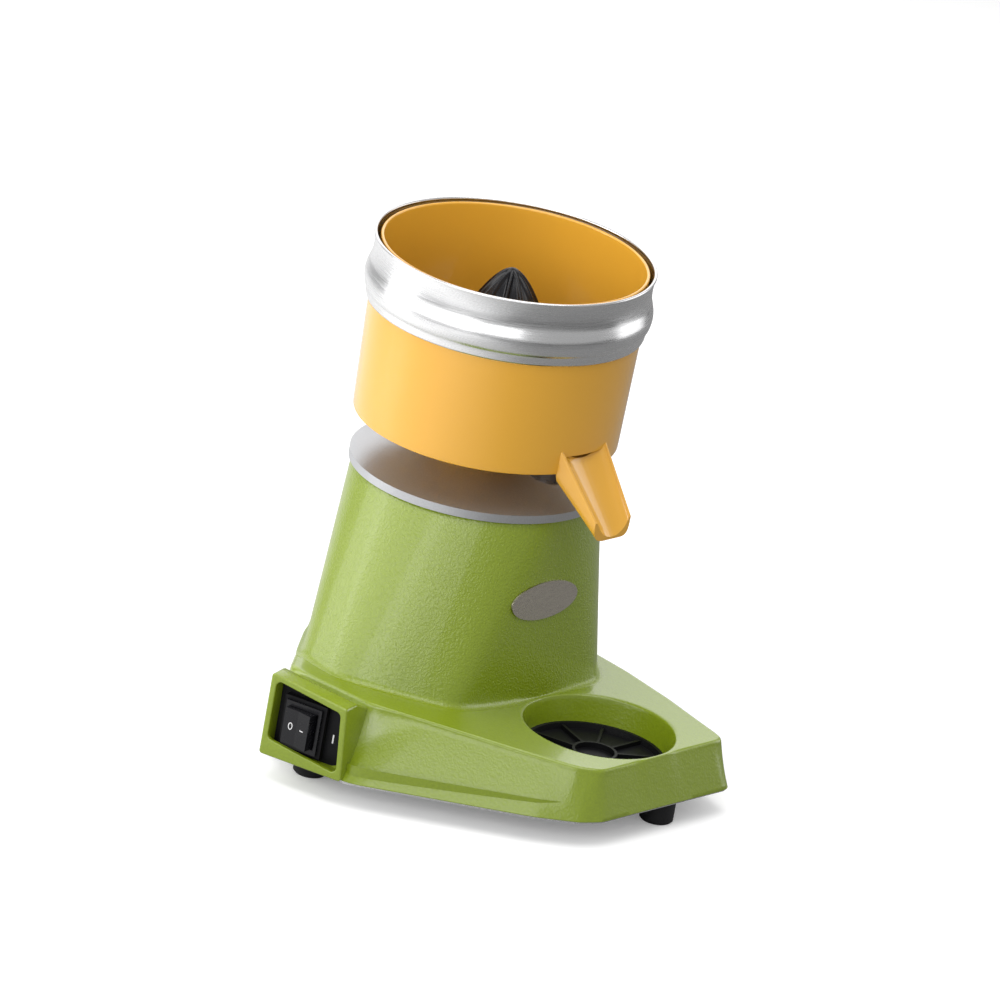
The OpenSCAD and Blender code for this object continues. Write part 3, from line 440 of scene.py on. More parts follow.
def makeBaseShell():
    # rays from the middle of the cup recess: floor, cone, lip, deck, rounded edge, wall, rim
    turns = onceRound(-np.pi, base["rays"])
    normals = onceRound(-np.pi, base["normals"])
    foot = roundHull(baseCorners(0, 0), base["corner"], normals)
    top = roundHull(baseCorners(base["draft"], base["farDraft"]), base["corner"], normals)
    footReach = blurRing(reachRound(base["cup"], foot, turns), base["blur"]) - base["trim"]
    topReach = blurRing(reachRound(base["cup"], top, turns), base["blur"])
    cos, sin = np.cos(turns), np.sin(turns)
    cx, cy = base["cup"]
    cove, steps = base["cove"], base["steps"]
    floorR = base["cupFloorR"] - base["coveIn"]
    floorZ = base["deck"] - base["cupDepth"]
    slope = math.atan2(base["cupDepth"], base["cupR"] - base["cupFloorR"])
    coneR = floorR + cove * math.sin(slope)
    coneZ = floorZ + cove * (1 - math.cos(slope))
    lipR = base["cupR"] - base["lipIn"]
    lipLow = base["deck"] - base["lipDrop"]
    rows = []

    def addRow(reach, height):
        rows.append(ringAt(cos, sin, reach, height, base["cup"]))

    for r in (*base["floorRings"], floorR):
        addRow(r, floorZ)
    for part in np.linspace(base["coveStart"], 1, steps["cove"]):     # fillet at the recess floor
        bend = part * slope
        addRow(floorR + cove * math.sin(bend), floorZ + cove * (1 - math.cos(bend)))
    for part in np.linspace(0, 1, steps["cone"])[1:]:         # the cone up to the rounded lip
        addRow(coneR + part * (lipR - coneR), coneZ + part * (lipLow - coneZ))
    lipEnd = np.minimum(base["cupR"] + base["lip"], topReach - base["rimGap"])
    edgeStart = blurRing(np.maximum(topReach - base["edge"], lipEnd + base["leastDeck"]), base["edgeBlur"])
    edge = topReach - edgeStart
    lipZ = deckHeight(cx + lipEnd * cos, cy + lipEnd * sin)
    for part in np.linspace(base["lipStart"], 1, steps["lip"]):     # rounded lip
        bend = part * np.pi / 2
        addRow(lipR + (lipEnd - lipR) * (1 - np.cos(bend)) ** base["lipBend"],
               lipLow + (lipZ - lipLow) * np.sin(bend))
    for part in np.linspace(0, 1, steps["deck"])[1:]:
        reach = lipEnd + (edgeStart - lipEnd) * part
        addRow(reach, deckHeight(cx + reach * cos, cy + reach * sin))
    edgeZ = deckHeight(cx + edgeStart * cos, cy + edgeStart * sin)
    edgeTurn, edgeDrop = base["edgeTurn"], base["edgeDrop"]
    for part in np.linspace(0, 1, steps["edge"])[1:]:         # rounded edge of the deck
        bend = part * np.pi / 2 * edgeTurn
        addRow(edgeStart + edge * np.sin(bend) / np.sin(np.pi / 2 * edgeTurn),
               edgeZ - edgeDrop * edge * (1 - np.cos(bend)))
    wallTop = edgeZ - edgeDrop * edge * (1 - math.cos(np.pi / 2 * edgeTurn))
    wallLow, rimLow = base["rimHigh"]
    rimOut, rimFlat = base["rimIn"]
    for part in np.linspace(0, 1, steps["wall"])[1:]:         # leaning wall
        addRow(topReach + (footReach - topReach) * part,
               wallTop + (base["low"] + wallLow - wallTop) * part)
    addRow(footReach - rimOut, base["low"] + rimLow)
    addRow(footReach - rimFlat, base["low"])
    addRow(footReach - base["wall"], base["low"])
    addRow(footReach - base["wall"] - base["inside"][0], base["low"] + base["inside"][1])
    return ringPiece("baseShell", rows, flip=True, closeFirst=True)


baseShell = makeBaseShell()
finishPiece(baseShell, greenSmooth, "frame", "green_enamel", "base_casting")
print("base shell made")


# switch pod

pod = {
    "x": 199.5, "y": 56.5, "turn": 15, "width": 65, "rear": 60.5, "front": 53, "taper": 4,
    "rim": 4.5, "sill": 8, "sillT": 3, "recess": 11, "plate": 2.5, "cap": 15, "back": 35.5, "low": 44.5,
    "outerR": 2.2, "innerR": 4, "outerEdge": 1.2, "innerEdge": 0.9, "switchLow": 1.4,
    "falls": (1, 0.6, 0.3, 0.12, 0.03, 0), "collar": 6, "behindSill": 0.02, "middle": 8, "bendSteps": 7,
}
podTurn = math.radians(pod["turn"] - 90)
podMiddle = (pod["rear"] + pod["front"]) / 4 - pod["switchLow"]


def fromPod(points):
    # pod frame to spindle frame: turned about the upright, then moved to the pod's corner
    c, s = math.cos(podTurn), math.sin(podTurn)
    x, y, z = points[..., 0], points[..., 1], points[..., 2]
    return np.stack([c * x - s * y - pod["x"], s * x + c * y - pod["y"], z + base["low"]], axis=-1)


def podOutline(inset, radius, sill=0.0, fall=0.0, perCorner=9, perSide=8):
    # a four-sided outline with round corners, drawn in by an inset; fall brings its top down
    half = pod["width"] / 2
    rear = pod["rear"] + fall * (pod["low"] - pod["rear"])
    front = pod["front"] + fall * (pod["low"] - pod["front"])
    corners = np.array([[-half + inset, inset + sill], [half - inset, inset],
                        [half - pod["taper"] - inset, front - inset], [-half + inset, rear - inset]])
    pieces = []
    for i in range(4):
        before = corners[i - 1] - corners[i]
        after = corners[(i + 1) % 4] - corners[i]
        before /= np.linalg.norm(before)
        after /= np.linalg.norm(after)
        halfAngle = math.acos(np.clip(before @ after, -1, 1)) / 2
        middle = (before + after) / np.linalg.norm(before + after)
        centre = corners[i] + middle * radius / math.sin(halfAngle)
        fromAngle = math.atan2(*(corners[i] + before * radius / math.tan(halfAngle) - centre)[::-1])
        toAngle = math.atan2(*(corners[i] + after * radius / math.tan(halfAngle) - centre)[::-1])
        if toAngle < fromAngle:
            toAngle += 2 * np.pi
        angle = np.linspace(fromAngle, toAngle, perCorner)
        pieces.append(centre + radius * np.stack([np.cos(angle), np.sin(angle)], axis=1))
    ring = []
    for i in range(4):
        ring.append(pieces[i])
        start, end = pieces[i][-1], pieces[(i + 1) % 4][0]
        ring.append(start + np.linspace(0, 1, perSide + 2)[1:-1, None] * (end - start))
    return np.concatenate(ring)


def makePodShell():
    # loops that run from the back along the outside, over the rim and down into the recess
    outR, inR, rim = pod["outerR"], pod["innerR"], pod["rim"]
    bends = np.linspace(0, np.pi / 2, pod["bendSteps"])
    steps = []                                                # depth, inset, radius, sill, fall
    for fall in pod["falls"]:                                 # the top falls behind the cap
        steps.append((pod["cap"] + fall * (pod["back"] - pod["cap"]), 0, outR, 0, fall))
    steps.append((pod["collar"], 0, outR, 0, 0))
    for bend in bends:
        e = pod["outerEdge"]
        steps.append((e * (1 - math.sin(bend)), e * (1 - math.cos(bend)), outR, 0, 0))
    for bend in bends[::-1]:
        e = pod["innerEdge"]
        steps.append((e * (1 - math.sin(bend)), rim - e * (1 - math.cos(bend)), inR, pod["sill"], 0))
    steps.append((pod["sillT"], rim, inR, pod["sill"], 0))
    for depth in (pod["sillT"] + pod["behindSill"], pod["middle"], pod["recess"] + pod["plate"]):
        steps.append((depth, rim, inR, 0, 0))
    loops = []
    for depth, inset, radius, sill, fall in steps:
        ring = podOutline(inset, radius, sill, fall)
        loops.append(np.stack([ring[:, 0], np.full(len(ring), depth), ring[:, 1]], axis=1))
    return ringPiece("podShell", fromPod(np.array(loops)))


podShell = makePodShell()
finishPiece(podShell, greenSmooth, "frame", "green_enamel", "base_casting")


# boss for the cord gland

inlet = {"x": 20, "z": 34, "radius": 9, "bore": 5.1, "deep": 7, "edge": 0.6, "bendSteps": 5, "columns": 64}


def makeInletBoss():
    # a short ring round the inlet, turned about a line to the rear
    radius, bore, edge, columns = (inlet[k] for k in ("radius", "bore", "edge", "columns"))
    end = base["rear"]
    start = end - inlet["deep"]
    rim = [(radius - edge * (1 - math.cos(bend)), end - edge * (1 - math.sin(bend)))
           for bend in np.linspace(0, np.pi / 2, inlet["bendSteps"])]
    profile = [(radius, start), *rim, (bore, end), (bore, start), (radius, start)]
    turned = np.array(latheRings(profile, columns))
    points = np.stack([turned[..., 0] + inlet["x"], turned[..., 2], turned[..., 1] + inlet["z"]], axis=-1)
    return ringPiece("inletBoss", points, flip=True)


inletBoss = makeInletBoss()
finishPiece(inletBoss, greenSmooth, "frame", "green_enamel", "base_casting")
print("switch pod and inlet made")


# motor housing

tower = {
    "left": 154, "right": 90, "front": 97.5, "rear": 84, "corner": 22, "topR": 88,
    "low": 46.5, "high": 182.5, "fillet": 4.0, "leastFillet": 0.8, "under": 1.5, "outside": 0.1,
    "topEdge": 1.0, "rim": 4, "rimDeep": 8,
    "columns": 560, "normals": 2880, "blur": 5, "turnBlur": 16, "filletBlur": 8, "filletSteps": 9,
    "wallSteps": 60, "edgeSteps": 5,
    "shares": [(-0.69, -1), (0.68, -1), (0.95, -0.7), (1, -0.35), (1, 0.4), (0.75, 0.85), (0.3, 1),
               (-0.28, 0.88), (-0.6, 0.48), (-0.97, -0.09), (-1, -0.4), (-0.93, -0.61),
               (-0.81, -0.81)],
}


def towerOutline(count):
    # the foot's outline at equal steps round it, with the direction each point faces
    corner = tower["corner"]
    reaches = [tower[side] - corner for side in ("left", "right", "front", "rear")]
    normals = onceRound(-np.pi, tower["normals"])
    ring = roundHull(spreadShares(np.array(tower["shares"], dtype=float), *reaches), corner, normals)
    step = np.linalg.norm(np.roll(ring, -1, axis=0) - ring, axis=1)
    along = np.concatenate([[0], np.cumsum(step)])
    where = np.linspace(0, along[-1], count, endpoint=False)
    closed = np.concatenate([ring, ring[:1]])
    px = np.interp(where, along, closed[:, 0])
    py = np.interp(where, along, closed[:, 1])
    facing = np.interp(where, along, np.concatenate([normals, [np.pi]]))
    even = onceRound(-np.pi, count)
    facing = even + blurRing(facing - even, tower["turnBlur"])
    return blurRing(px, tower["blur"]), blurRing(py, tower["blur"]), facing


def makeTowerShell():
    # straight lines from the foot's outline to the round top that faces the same way,
    # ending at the foot in a fillet that runs out on the deck
    px, py, facing = towerOutline(tower["columns"])
    nx, ny = np.cos(facing), np.sin(facing)
    topR, high = tower["topR"], tower["high"]
    tall = high - tower["low"]
    rows = []

    def wallAt(z):
        t = (z - tower["low"]) / tall
        return px + t * (topR * nx - px), py + t * (topR * ny - py)

    def addRow(z, out=0.0):
        wx, wy = wallAt(z)
        rows.append(np.stack([wx + nx * out, wy + ny * out, z], axis=1))

    def addRing(r, z):
        rows.append(ringAt(nx, ny, r, z))

    meet = np.full(len(px), base["deck"], dtype=float)
    for _ in range(4):
        wx, wy = wallAt(meet)
        meet = deckHeight(wx, wy)
    meet = blurRing(meet, base["edgeBlur"])
    wx, wy = wallAt(meet)
    gap = np.hypot(wx - base["cup"][0], wy - base["cup"][1]) - base["cupR"] - base["lip"]
    fillet = blurRing(np.clip(gap, tower["leastFillet"], tower["fillet"]), tower["filletBlur"])
    addRow(meet - tower["under"], fillet + tower["outside"])
    for bend in np.linspace(np.pi / 2, 0, tower["filletSteps"]):
        addRow(meet + fillet * (1 - math.sin(bend)), fillet * (1 - math.cos(bend)))
    start = meet + fillet
    for part in np.linspace(0, 1, tower["wallSteps"])[1:]:
        addRow(start + (high - tower["topEdge"] - start) * part)
    for bend in np.linspace(0, np.pi / 2, tower["edgeSteps"])[1:]:
        addRing(topR - (1 - math.cos(bend)), high - tower["topEdge"] + math.sin(bend))
    addRing(topR - tower["rim"], high)
    addRing(topR - tower["rim"], high - tower["rimDeep"])
    return ringPiece("towerShell", rows)


towerShell = makeTowerShell()
finishPiece(towerShell, finishes["green_enamel"], "frame", "green_enamel", "motor_housing")
print("housing made")


# bowl and spout

bowl = {
    "low": 220.5, "lowR": 93.5, "topR": 96, "step": 303.5, "lip": 348.2, "wall": 2.4, "collarR": 94.6,
    "underside": 224.5, "floor": 227.5, "cove": 4, "chimneyR": 14, "chimneyTop": 261.5, "skirtR": 30.3,
    "skirtLow": 201.5, "mouth": 233.5, "ledge": 249.5, "ledgeIn": 3.2, "ledgeBevel": (0.3, 1.6),
    "ledgeUnder": 5, "ledgeOver": 0.4, "lowEdge": 0.8, "lowStart": 0.3, "straight": 225.0,
    "round": 1.2, "stepRound": 1.15, "stepGap": 0.05, "lipUnder": 4, "opens": (1.1, 231.5, 115),
    "spoutSide": 30, "leastFloor": 1, "floorMiddle": 60, "chimneyCove": 1.5,
    "columns": 512, "wallSteps": (20, 24),
    "arcs": {"low": (-90, 0, 5), "step": (0, 90, 6), "lip": (0, 180, 11), "cove": (-20, -90, 6)},
}
spout = {
    "start": 87.5, "end": 130.3, "floor": 233.8, "slope": 1.1233, "rootW": 22, "tipW": 16, "rootH": 7.5,
    "tipH": 10.5, "rootHang": 18.5, "tipHang": 2.2, "rootFoot": 0.95, "tipFoot": 0.75, "wall": 2.2,
    "bend": 4, "wallR": 92.9, "wallReach": 5.3, "rimShare": 0.93, "tipBow": 1.6, "tipBowHalf": 18.2,
    "side": (1.8, 2.5), "edge": (1.5, 0.8), "underShare": 0.85, "underIn": 0.6,
    "shares": [(0, 0), (0.15, 0.01), (0.42, 0.12), (0.7, 0.38), (0.88, 0.68), (0.98, 0.95), (1, 1.3)],
    "curveSteps": 60, "curveSkip": 3, "sections": 40, "rimSteps": 9, "edgeSteps": 7,
}


def alongSpout(y, first, second):
    # a size that changes evenly from the spout's start to its tip
    return first + (second - first) * (y - spout["start"]) / (spout["end"] - spout["start"])


def channelFloor(x, y):
    # height of the channel's rounded floor at a point, y counted to the front
    wide = alongSpout(y, spout["rootW"], spout["tipW"])
    high = alongSpout(y, spout["rootH"], spout["tipH"])
    curve = smoothCurve(spout["shares"], spout["curveSteps"])
    lift = np.interp(np.abs(x) / wide, curve[:, 0], curve[:, 1]) * high
    return spout["floor"] - spout["slope"] * (y - spout["start"]) + lift


def makeBowl():
    # a turned profile whose wall is open at the front between the channel's floor and the mouth
    turns = onceRound(-np.pi / 2, bowl["columns"])
    cos, sin = np.cos(turns), np.sin(turns)
    low, step, mouth, lip, ledge = (bowl[k] for k in ("low", "step", "mouth", "lip", "ledge"))
    floor, wall, underside, turnR = (bowl[k] for k in ("floor", "wall", "underside", "round"))
    edge, lowIn, arcs = bowl["lowEdge"], bowl["lowR"] - bowl["wall"], bowl["arcs"]

    def outerR(z):
        return bowl["lowR"] + (bowl["topR"] - bowl["lowR"]) * (z - low) / (step - low)

    def innerR(z):
        wider, start, tall = bowl["opens"]
        return lowIn + wider * (z - start) / tall

    def sillAt(r):
        sill = channelFloor(r * cos, -r * sin)
        front = (sin < 0) & (np.abs(r * cos) < bowl["spoutSide"])
        return np.where(front, np.minimum(sill, mouth), mouth)

    rows = []
    labels = {}

    def addRow(r, z, label=None):
        if label:
            labels[label] = len(rows)
        rows.append(ringAt(cos, sin, r, z))

    addRow(lowIn, underside)
    addRow(lowIn, low + bowl["lowStart"])
    for r, z in arcCorner((bowl["lowR"] - edge, low + edge), edge, *arcs["low"]):
        addRow(r, z)
    addRow(outerR(bowl["straight"]), bowl["straight"])
    addRow(outerR(mouth), sillAt(outerR(mouth)), "outSill")
    addRow(outerR(mouth), mouth, "outMouth")
    for z in np.linspace(mouth, step - turnR, bowl["wallSteps"][0])[1:]:
        addRow(outerR(z), z)
    for r, z in arcCorner((bowl["topR"] - turnR, step - turnR), bowl["stepRound"], *arcs["step"]):
        addRow(r, z)
    addRow(bowl["collarR"], step - bowl["stepGap"])
    addRow(bowl["collarR"], lip - edge)
    for r, z in arcCorner((bowl["collarR"] - turnR, lip - turnR), turnR, *arcs["lip"]):
        addRow(r, z)
    for z in np.linspace(lip - bowl["lipUnder"], ledge + bowl["ledgeOver"], bowl["wallSteps"][1]):
        addRow(innerR(z), z)
    ledgeR, bevel = innerR(ledge) - bowl["ledgeIn"], bowl["ledgeBevel"]
    addRow(ledgeR, ledge)
    addRow(ledgeR + bevel[0], ledge - bevel[1])
    addRow(innerR(ledge - bowl["ledgeUnder"]), ledge - bowl["ledgeUnder"])
    addRow(innerR(mouth), mouth, "inMouth")
    addRow(innerR(mouth), np.maximum(sillAt(innerR(mouth)), floor + bowl["leastFloor"]), "inSill")
    cove = bowl["cove"]
    for r, z in arcCorner((lowIn - cove, floor + cove), cove, *arcs["cove"]):
        addRow(r, np.minimum(z, rows[-1][:, 2]))
    chimneyR, chimneyTop, footIn = bowl["chimneyR"], bowl["chimneyTop"], bowl["chimneyCove"]
    skirtR, skirtLow = bowl["skirtR"], bowl["skirtLow"]
    for r, z in ((bowl["floorMiddle"], floor), (chimneyR + footIn, floor), (chimneyR, floor + footIn),
                 (chimneyR, chimneyTop - edge), (chimneyR - turnR, chimneyTop),
                 (chimneyR - wall, chimneyTop - edge), (chimneyR - wall, underside), (skirtR, underside),
                 (skirtR, skirtLow), (skirtR + wall, skirtLow), (skirtR + wall, underside)):
        addRow(r, z)
    grid = np.array(rows)
    count = len(turns)
    faces = gridFaces(len(rows), count)
    last = (len(rows) - 1) * count
    column = np.arange(count)
    after = (column + 1) % count
    closing = np.stack([last + column, last + after, after, column], axis=1)
    sill = grid[labels["outSill"], :, 2]
    isOpen = (sill < mouth - tiny) | (sill[after] < mouth - tiny)
    strips = []
    keep = np.ones(len(faces), dtype=bool)
    for label in ("outSill", "inMouth"):                      # no wall where the spout leaves
        start = labels[label] * count
        keep[start:start + count] = ~isOpen
    for label, other in (("inSill", "outSill"), ("outMouth", "inMouth")):
        first, second = labels[label] * count, labels[other] * count
        strips.append(np.stack([first + column, first + after, second + after, second + column],
                               axis=1)[isOpen])
    faces = np.concatenate([faces[keep], closing, *strips])
    return meshFrom("bowlShell", grid.reshape(-1, 3), faces)


def makeSpout():
    # closed sections from inside the bowl's wall to the tip: channel, round rims, sides, underside
    curve = smoothCurve(spout["shares"], spout["curveSteps"])
    inner = curve[curve[:, 1] <= spout["rimShare"]][::spout["curveSkip"]]
    half = spout["wall"] / 2
    length = spout["end"] - spout["start"]
    (sideOut, sideUp), (edgeTop, edgeLow) = spout["side"], spout["edge"]
    loops = []
    for part in np.linspace(0, 1, spout["sections"]):
        y = spout["start"] + spout["wallReach"] + (length - spout["wallReach"]) * part
        wide = alongSpout(y, spout["rootW"], spout["tipW"])
        high = alongSpout(y, spout["rootH"], spout["tipH"])
        hang = alongSpout(y, spout["rootHang"], spout["tipHang"])
        foot = wide * alongSpout(y, spout["rootFoot"], spout["tipFoot"])
        section = [(x * wide, z * high) for x, z in inner]
        section += [(wide + half + half * math.cos(t), high - half + half * math.sin(t))
                    for t in np.linspace(np.pi, 0, spout["rimSteps"])]
        bendAt = spout["bend"] - hang
        section.append((wide + half * sideOut, bendAt + sideUp))
        for t in np.linspace(0, 1, spout["edgeSteps"]):       # rounded lower edge
            a = (wide + half * edgeTop, bendAt + 1)
            b = (wide + half * edgeLow, -hang)
            c = (foot, -hang)
            section.append(tuple((1 - t)**2 * a[k] + 2 * t * (1 - t) * b[k] + t * t * c[k] for k in (0, 1)))
        under = max(-hang, -hang + spout["underShare"] * (hang - spout["wall"]))
        section.append((foot - spout["wall"], -hang))
        section.append((foot - spout["wall"] - spout["underIn"], under))
        right = np.array(section)
        left = right[::-1] * np.array([-1, 1])
        loop = np.concatenate([right, left[:-1]])
        x = loop[:, 0]
        wallY = np.sqrt(np.maximum(spout["wallR"]**2 - x**2, 0))
        tipY = spout["end"] - spout["tipBow"] * (np.abs(x) / spout["tipBowHalf"]) ** 3
        here = wallY + (tipY - wallY) * part
        z = spout["floor"] - spout["slope"] * (here - spout["start"]) + loop[:, 1]
        loops.append(np.stack([x, -here, z], axis=1))
    return ringPiece("bowlSpout", loops, closeFirst=True, closeLast=True)


bowlShell = makeBowl()
bowlSpout = makeSpout()
for piece in (bowlShell, bowlSpout):
    finishPiece(piece, finishes["yellow_plastic"], "bowl", "yellow_plastic", "bowl")
print("bowl made")


# splash guard

guard = {
    "low": 303.5, "high": 350, "radius": 101.5, "sheet": 1.2, "seatR": 94.9,
    "profile": [(3.2, 1.2), (3.0, 3), (2.75, 5), (2.3, 6.6), (1.2, 8.6), (0.4, 11.5), (0, 15), (0.3, 18.5),
                (1.4, 22.5), (2.7, 27), (3.4, 33), (3.3, 38), (2.9, 41.5), (2.45, 44)],
    "leastIn": 0.01, "lipR": 1.15, "lipOver": 0.1, "lipOut": 0.35, "lipTurn": (-20, 200),
    "footIn": 3.2, "footRound": (3.5, 0.3), "footFlat": 4.2, "seatRise": 1.3,
    "steps": 90, "lipSteps": 15, "underLip": 4, "columns": 288, "sharp": 50,
}


def makeSplashGuard():
    # the sheet's outside as a smooth curve, a rolled lip on top, and the inside one sheet in
    radius, sheet, low, lipR = (guard[k] for k in ("radius", "sheet", "low", "lipR"))
    outside = smoothCurve(guard["profile"], guard["steps"])
    outer = np.stack([radius - np.maximum(outside[:, 0], guard["leastIn"]), low + outside[:, 1]], axis=1)
    lipCentre = (outer[-1, 0] + guard["lipOver"] - lipR + guard["lipOut"], guard["high"] - lipR)
    lip = arcCorner(lipCentre, lipR, *guard["lipTurn"], guard["lipSteps"])
    inner = (outer[::-1] - np.array([sheet, 0]))[:-guard["underLip"]]
    seat = np.array([[radius - guard["footIn"] - sheet, low + guard["seatRise"]],
                     [guard["seatR"], low + sheet], [guard["seatR"], low], [radius - guard["footFlat"], low],
                     [radius - guard["footRound"][0], low + guard["footRound"][1]]])
    profile = np.concatenate([outer, lip, inner, seat, outer[:1]])
    return ringPiece("splashGuardSheet", latheRings(profile, guard["columns"]), sharpAngle=guard["sharp"])


splashGuard = makeSplashGuard()
finishPiece(splashGuard, finishes["sheet_steel"], "guard", "sheet_steel", "splash_guard")


# squeezer

squeezer = {"low": 261, "foot": 271, "high": 337, "radius": 41, "ribs": 10, "proud": 3.0, "rib": 1.5,
            "power": 0.6, "bore": 6.06, "boreTop": 297, "well": 274, "skirtR": 17, "edge": 1,
            "footRound": ((0, 1.2), (0.4, 0.3)), "spread": 1.6, "tipShare": 0.9985, "ribFall": 1.3,
            "leastCore": 0.32, "columns": 520, "steps": 80, "sharp": 60}


def makeSqueezer():
    # radius falls to the tip as a power of the height left; ribs stand proud of it, round-topped
    radius, low, foot, bore, well, skirtR, edge = (
        squeezer[k] for k in ("radius", "low", "foot", "bore", "well", "skirtR", "edge"))
    turns = onceRound(0, squeezer["columns"])
    cos, sin = np.cos(turns), np.sin(turns)
    share = 1 - (1 - np.linspace(0, 1, squeezer["steps"])) ** squeezer["spread"]
    share[-1] = squeezer["tipShare"]
    outerR = radius * (1 - share) ** squeezer["power"]
    heights = foot + (squeezer["high"] - foot) * share
    step = 2 * np.pi / squeezer["ribs"]
    off = np.abs((turns + step / 2) % step - step / 2)
    across = np.sin(off)[None, :] * outerR[:, None]
    ridge = np.exp(-(across / squeezer["rib"]) ** 2 / squeezer["ribFall"])
    proud = np.minimum(squeezer["proud"], outerR * squeezer["leastCore"])[:, None]
    ribbed = outerR[:, None] - proud * (1 - ridge)
    above = [ringAt(cos, sin, r, z) for r, z in zip(ribbed, heights)]
    below = [ringAt(cos, sin, r, z) for r, z in (
        (bore, squeezer["boreTop"]), (bore, well), (skirtR, well), (skirtR, low), (radius - edge, low),
        (radius, low + edge), *((radius - inward, foot - down) for inward, down in squeezer["footRound"]))]
    return ringPiece("squeezerCone", below + above, closeFirst=True, closeLast=True,
                     sharpAngle=squeezer["sharp"])


squeezerCone = makeSqueezer()
finishPiece(squeezerCone, finishes["dark_plastic"], "squeezer", "dark_plastic", "squeezer")
print("guard and squeezer made")


# marks on the switch

marks = {
    "rockerTip": 8, "axle": 8.5, "aside": -5.5, "lift": 0.12, "thick": 0.1, "face": -9.5, "valley": 0.1,
    "sharp": 1,
    "off": (-4.8, 0.5), "offOuter": (1.7, 2.7), "offInner": (1.15, 2.1),
    "on": (4.8, 0), "onHalf": (1.5, 0.3), "line": (22.2, -3), "lineHalf": (0.55, 3.2),
}


def markSlab(name, outline, hole, faceAt, turn, body, slope=0.0):
    # a thin flat mark on a face of the pod frame, as an outline with or without a hole
    rings = [outline] if hole is None else [outline, hole]
    flat = np.concatenate([np.array(ring, dtype=float) for ring in rings])
    front = np.stack([flat[:, 0], faceAt - slope * np.abs(flat[:, 0]), flat[:, 1]], axis=1)
    back = front + np.array([0, marks["thick"] + marks["lift"] * 2, 0])
    both = np.concatenate([front, back])
    c, s = math.cos(turn), math.sin(turn)
    turned = np.stack([c * both[:, 0] - s * both[:, 1], s * both[:, 0] + c * both[:, 1], both[:, 2]], axis=1)
    turned += np.array([marks["aside"], marks["axle"], podMiddle])
    count, total = len(outline), len(front)
    faces = []
    if hole is None:
        faces.append(list(range(count)))
        faces.append([total + i for i in reversed(range(count))])
    for i in range(count):
        j = (i + 1) % count
        faces.append([j, i, total + i, total + j])
        if hole is not None:
            faces.append([i, j, count + j, count + i])
            faces.append([total + count + i, total + count + j, total + j, total + i])
            faces.append([total + count + j, total + count + i, count + i, count + j])
    piece = meshFrom(name, fromPod(turned), faces, marks["sharp"])
    finishPiece(piece, printWhite, body, "white_plastic")


def ovalRing(middle, half, count=28):
    (x, z), (wide, high) = middle, half
    angle = onceRound(0, count)
    return np.stack([x + wide * np.cos(angle), z + high * np.sin(angle)], axis=1)


def bar(middle, half):
    (x, z), (wide, high) = middle, half
    return [(x - wide, z - high), (x + wide, z - high), (x + wide, z + high), (x - wide, z + high)]


rest = -math.radians(marks["rockerTip"])
rockerFace = marks["face"] - marks["lift"]
markSlab("markOff", ovalRing(marks["off"], marks["offOuter"]), ovalRing(marks["off"], marks["offInner"]),
         rockerFace, rest, "rocker", marks["valley"])
markSlab("markOn", bar(marks["on"], marks["onHalf"]), None, rockerFace, rest, "rocker", marks["valley"])
markSlab("markPlate", bar(marks["line"], marks["lineHalf"]), None, pod["plate"] - marks["lift"], 0, "frame")
print("switch marks made")


# stage, light and camera

stage = {"reach": 12.0, "colour": (0.86, 0.86, 0.86, 1), "roughness": 0.9, "specular": 0.1, "glow": 0.19,
         "aside": (0.64, -0.77, 0), "paintedShadeFrom": (-0.45, 0.18), "paintedShadeTo": (0.9, 0.25), "sky": (0.55, 1.0)}


def makeStage():
    # a pale floor that glows a little to the camera; to reflections and bounce light its colour is painted
    # light and shade, paler on the lit side and darker on the far side
    far = stage["reach"]
    mesh = bpy.data.meshes.new("floor")
    mesh.from_pydata([(-far, -far, 0), (far, -far, 0), (far, far, 0), (-far, far, 0)], [], [(0, 1, 2, 3)])
    floor = bpy.data.objects.new("floor", mesh)
    bpy.context.scene.collection.objects.link(floor)
    material, tree, shader = newMaterial("paleFloor", stage["colour"][:3], stage["roughness"],
                                         specular=stage["specular"])
    shader.inputs["Emission Color"].default_value = (1, 1, 1, 1)
    rays, seen, place, aside, paintedShade, tone = addNodes(
        tree, "LightPath", "Math", "TexCoord", "VectorMath", "MapRange", "Mix")
    seen.operation = "MULTIPLY"
    seen.inputs[1].default_value = stage["glow"]
    aside.operation = "DOT_PRODUCT"
    aside.inputs[1].default_value = stage["aside"]
    # painted light and shade: the floor's colour seen in reflections runs from pale on the lit side to dark
    # on the far side
    setRange(paintedShade, stage["paintedShadeFrom"], stage["paintedShadeTo"])
    tone.data_type = "RGBA"
    tone.inputs[secondColour].default_value = stage["colour"]
    join(tree, (rays, "Is Camera Ray", seen, 0), (seen, "Value", shader, "Emission Strength"),
         (place, "Object", aside, 0), (aside, "Value", paintedShade, "Value"),
         (rays, "Is Camera Ray", tone, "Factor"), (paintedShade, "Result", tone, firstColour),
         (tone, mixedColour, shader, "Base Color"))
    floor.data.materials.append(material)


def makeSky():
    # white to the camera, dimmer as a light
    world = bpy.data.worlds.new("studio")
    bpy.context.scene.world = world
    world.use_nodes = True
    tree = world.node_tree
    back = tree.nodes["Background"]
    back.inputs["Color"].default_value = (1, 1, 1, 1)
    rays, level = addNodes(tree, "LightPath", "MapRange")
    setRange(level, (0, 1), stage["sky"])
    join(tree, (rays, "Is Camera Ray", level, "Value"), (level, "Result", back, "Strength"))


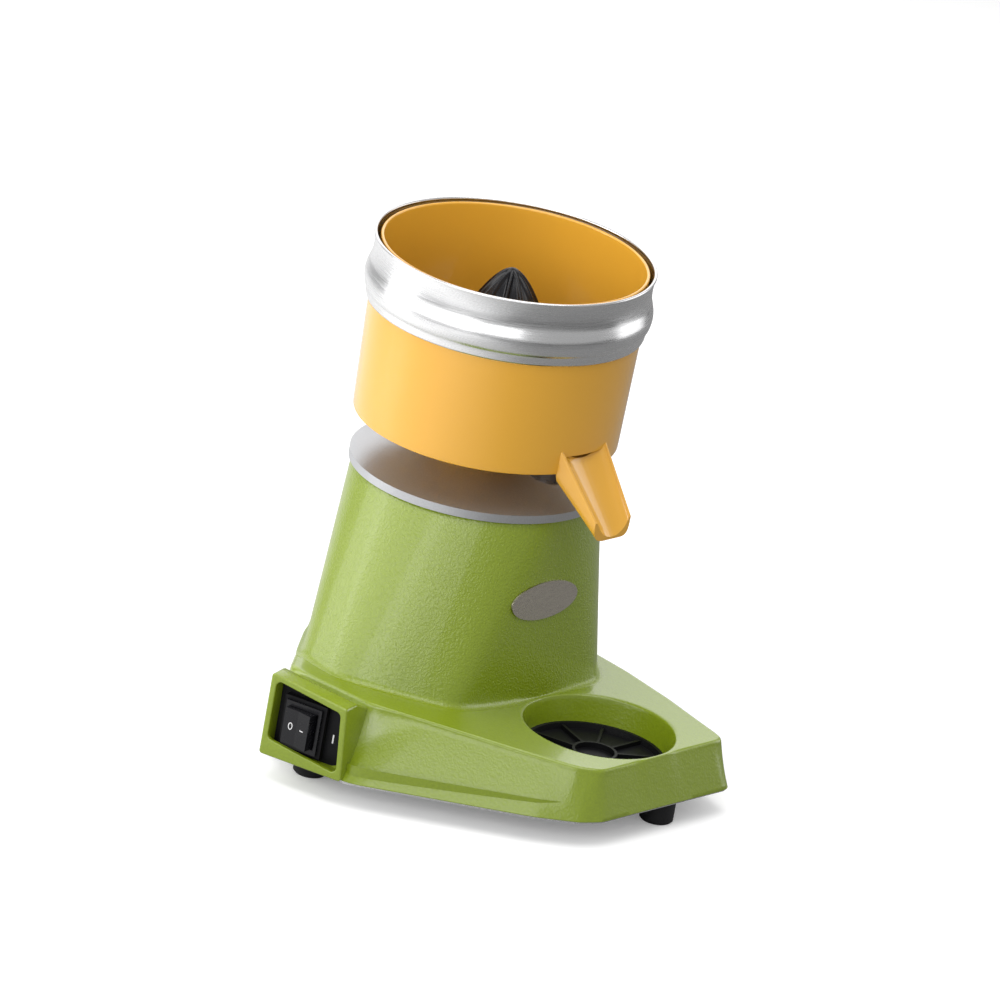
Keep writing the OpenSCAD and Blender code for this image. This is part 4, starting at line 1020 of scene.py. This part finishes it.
def addLamp(name, place, target, width, height, power):
    lamp = bpy.data.lights.new(name, "AREA")
    lamp.shape = "RECTANGLE"
    lamp.size, lamp.size_y = width, height
    lamp.energy = power
    piece = bpy.data.objects.new(name, lamp)
    bpy.context.scene.collection.objects.link(piece)
    piece.location = Vector(place)
    piece.rotation_mode = "QUATERNION"
    piece.rotation_quaternion = (Vector(target) - Vector(place)).to_track_quat("-Z", "Y")


makeStage()
makeSky()
aim = (0.0, 0.0, 0.17)
lamps = {                                                     # place, target, width, height, power
    "wideLeft": ((-1.42, 0.4, 0.75), aim, 2.0, 0.9, 11.5),
    "edgeLeft": ((-0.4, 0.54, 0.46), (0.0, 0.0, 0.3), 0.3, 0.85, 2.2),
    "nearCamera": ((-1.15, -0.7, 0.8), aim, 1.2, 0.5, 5),
    "fillRight": ((1.45, -0.6, 0.55), aim, 1.0, 1.0, 5),
    "softTop": ((-0.1, -0.1, 1.6), aim, 1.2, 1.2, 12),
    "softBack": ((0.85, 1.15, 0.92), aim, 2.4, 1.3, 11),
}
for lampName, values in lamps.items():
    addLamp(lampName, *values)

shot = {"azimuth": -50.265, "elevation": 21.144, "roll": 10.217, "height": 168.57, "right": 18.62,
        "up": -6.46, "away": 9330.6, "lens": 481.6, "sensor": 36, "clip": (1, 60)}


def makeCamera():
    a, e, r = (math.radians(shot[k]) for k in ("azimuth", "elevation", "roll"))
    back = Vector((math.sin(a) * math.cos(e), -math.cos(a) * math.cos(e), math.sin(e)))
    right = Vector((math.cos(a), math.sin(a), 0))
    up = back.cross(right)
    across = right * math.cos(r) + up * math.sin(r)
    above = up * math.cos(r) - right * math.sin(r)
    place = (Vector((axisX, axisY, shot["height"])) + across * shot["right"] + above * shot["up"]
             + back * shot["away"]) * mm
    turn = Matrix((across, above, back)).transposed().to_4x4()
    data = bpy.data.cameras.new("camera")
    data.lens, data.sensor_width = shot["lens"], shot["sensor"]
    data.clip_start, data.clip_end = shot["clip"]
    camera = bpy.data.objects.new("camera", data)
    bpy.context.scene.collection.objects.link(camera)
    camera.matrix_world = Matrix.Translation(place) @ turn
    bpy.context.scene.camera = camera


makeCamera()
bpy.context.scene.view_settings.view_transform = "Standard"
print("stage, light and camera made")
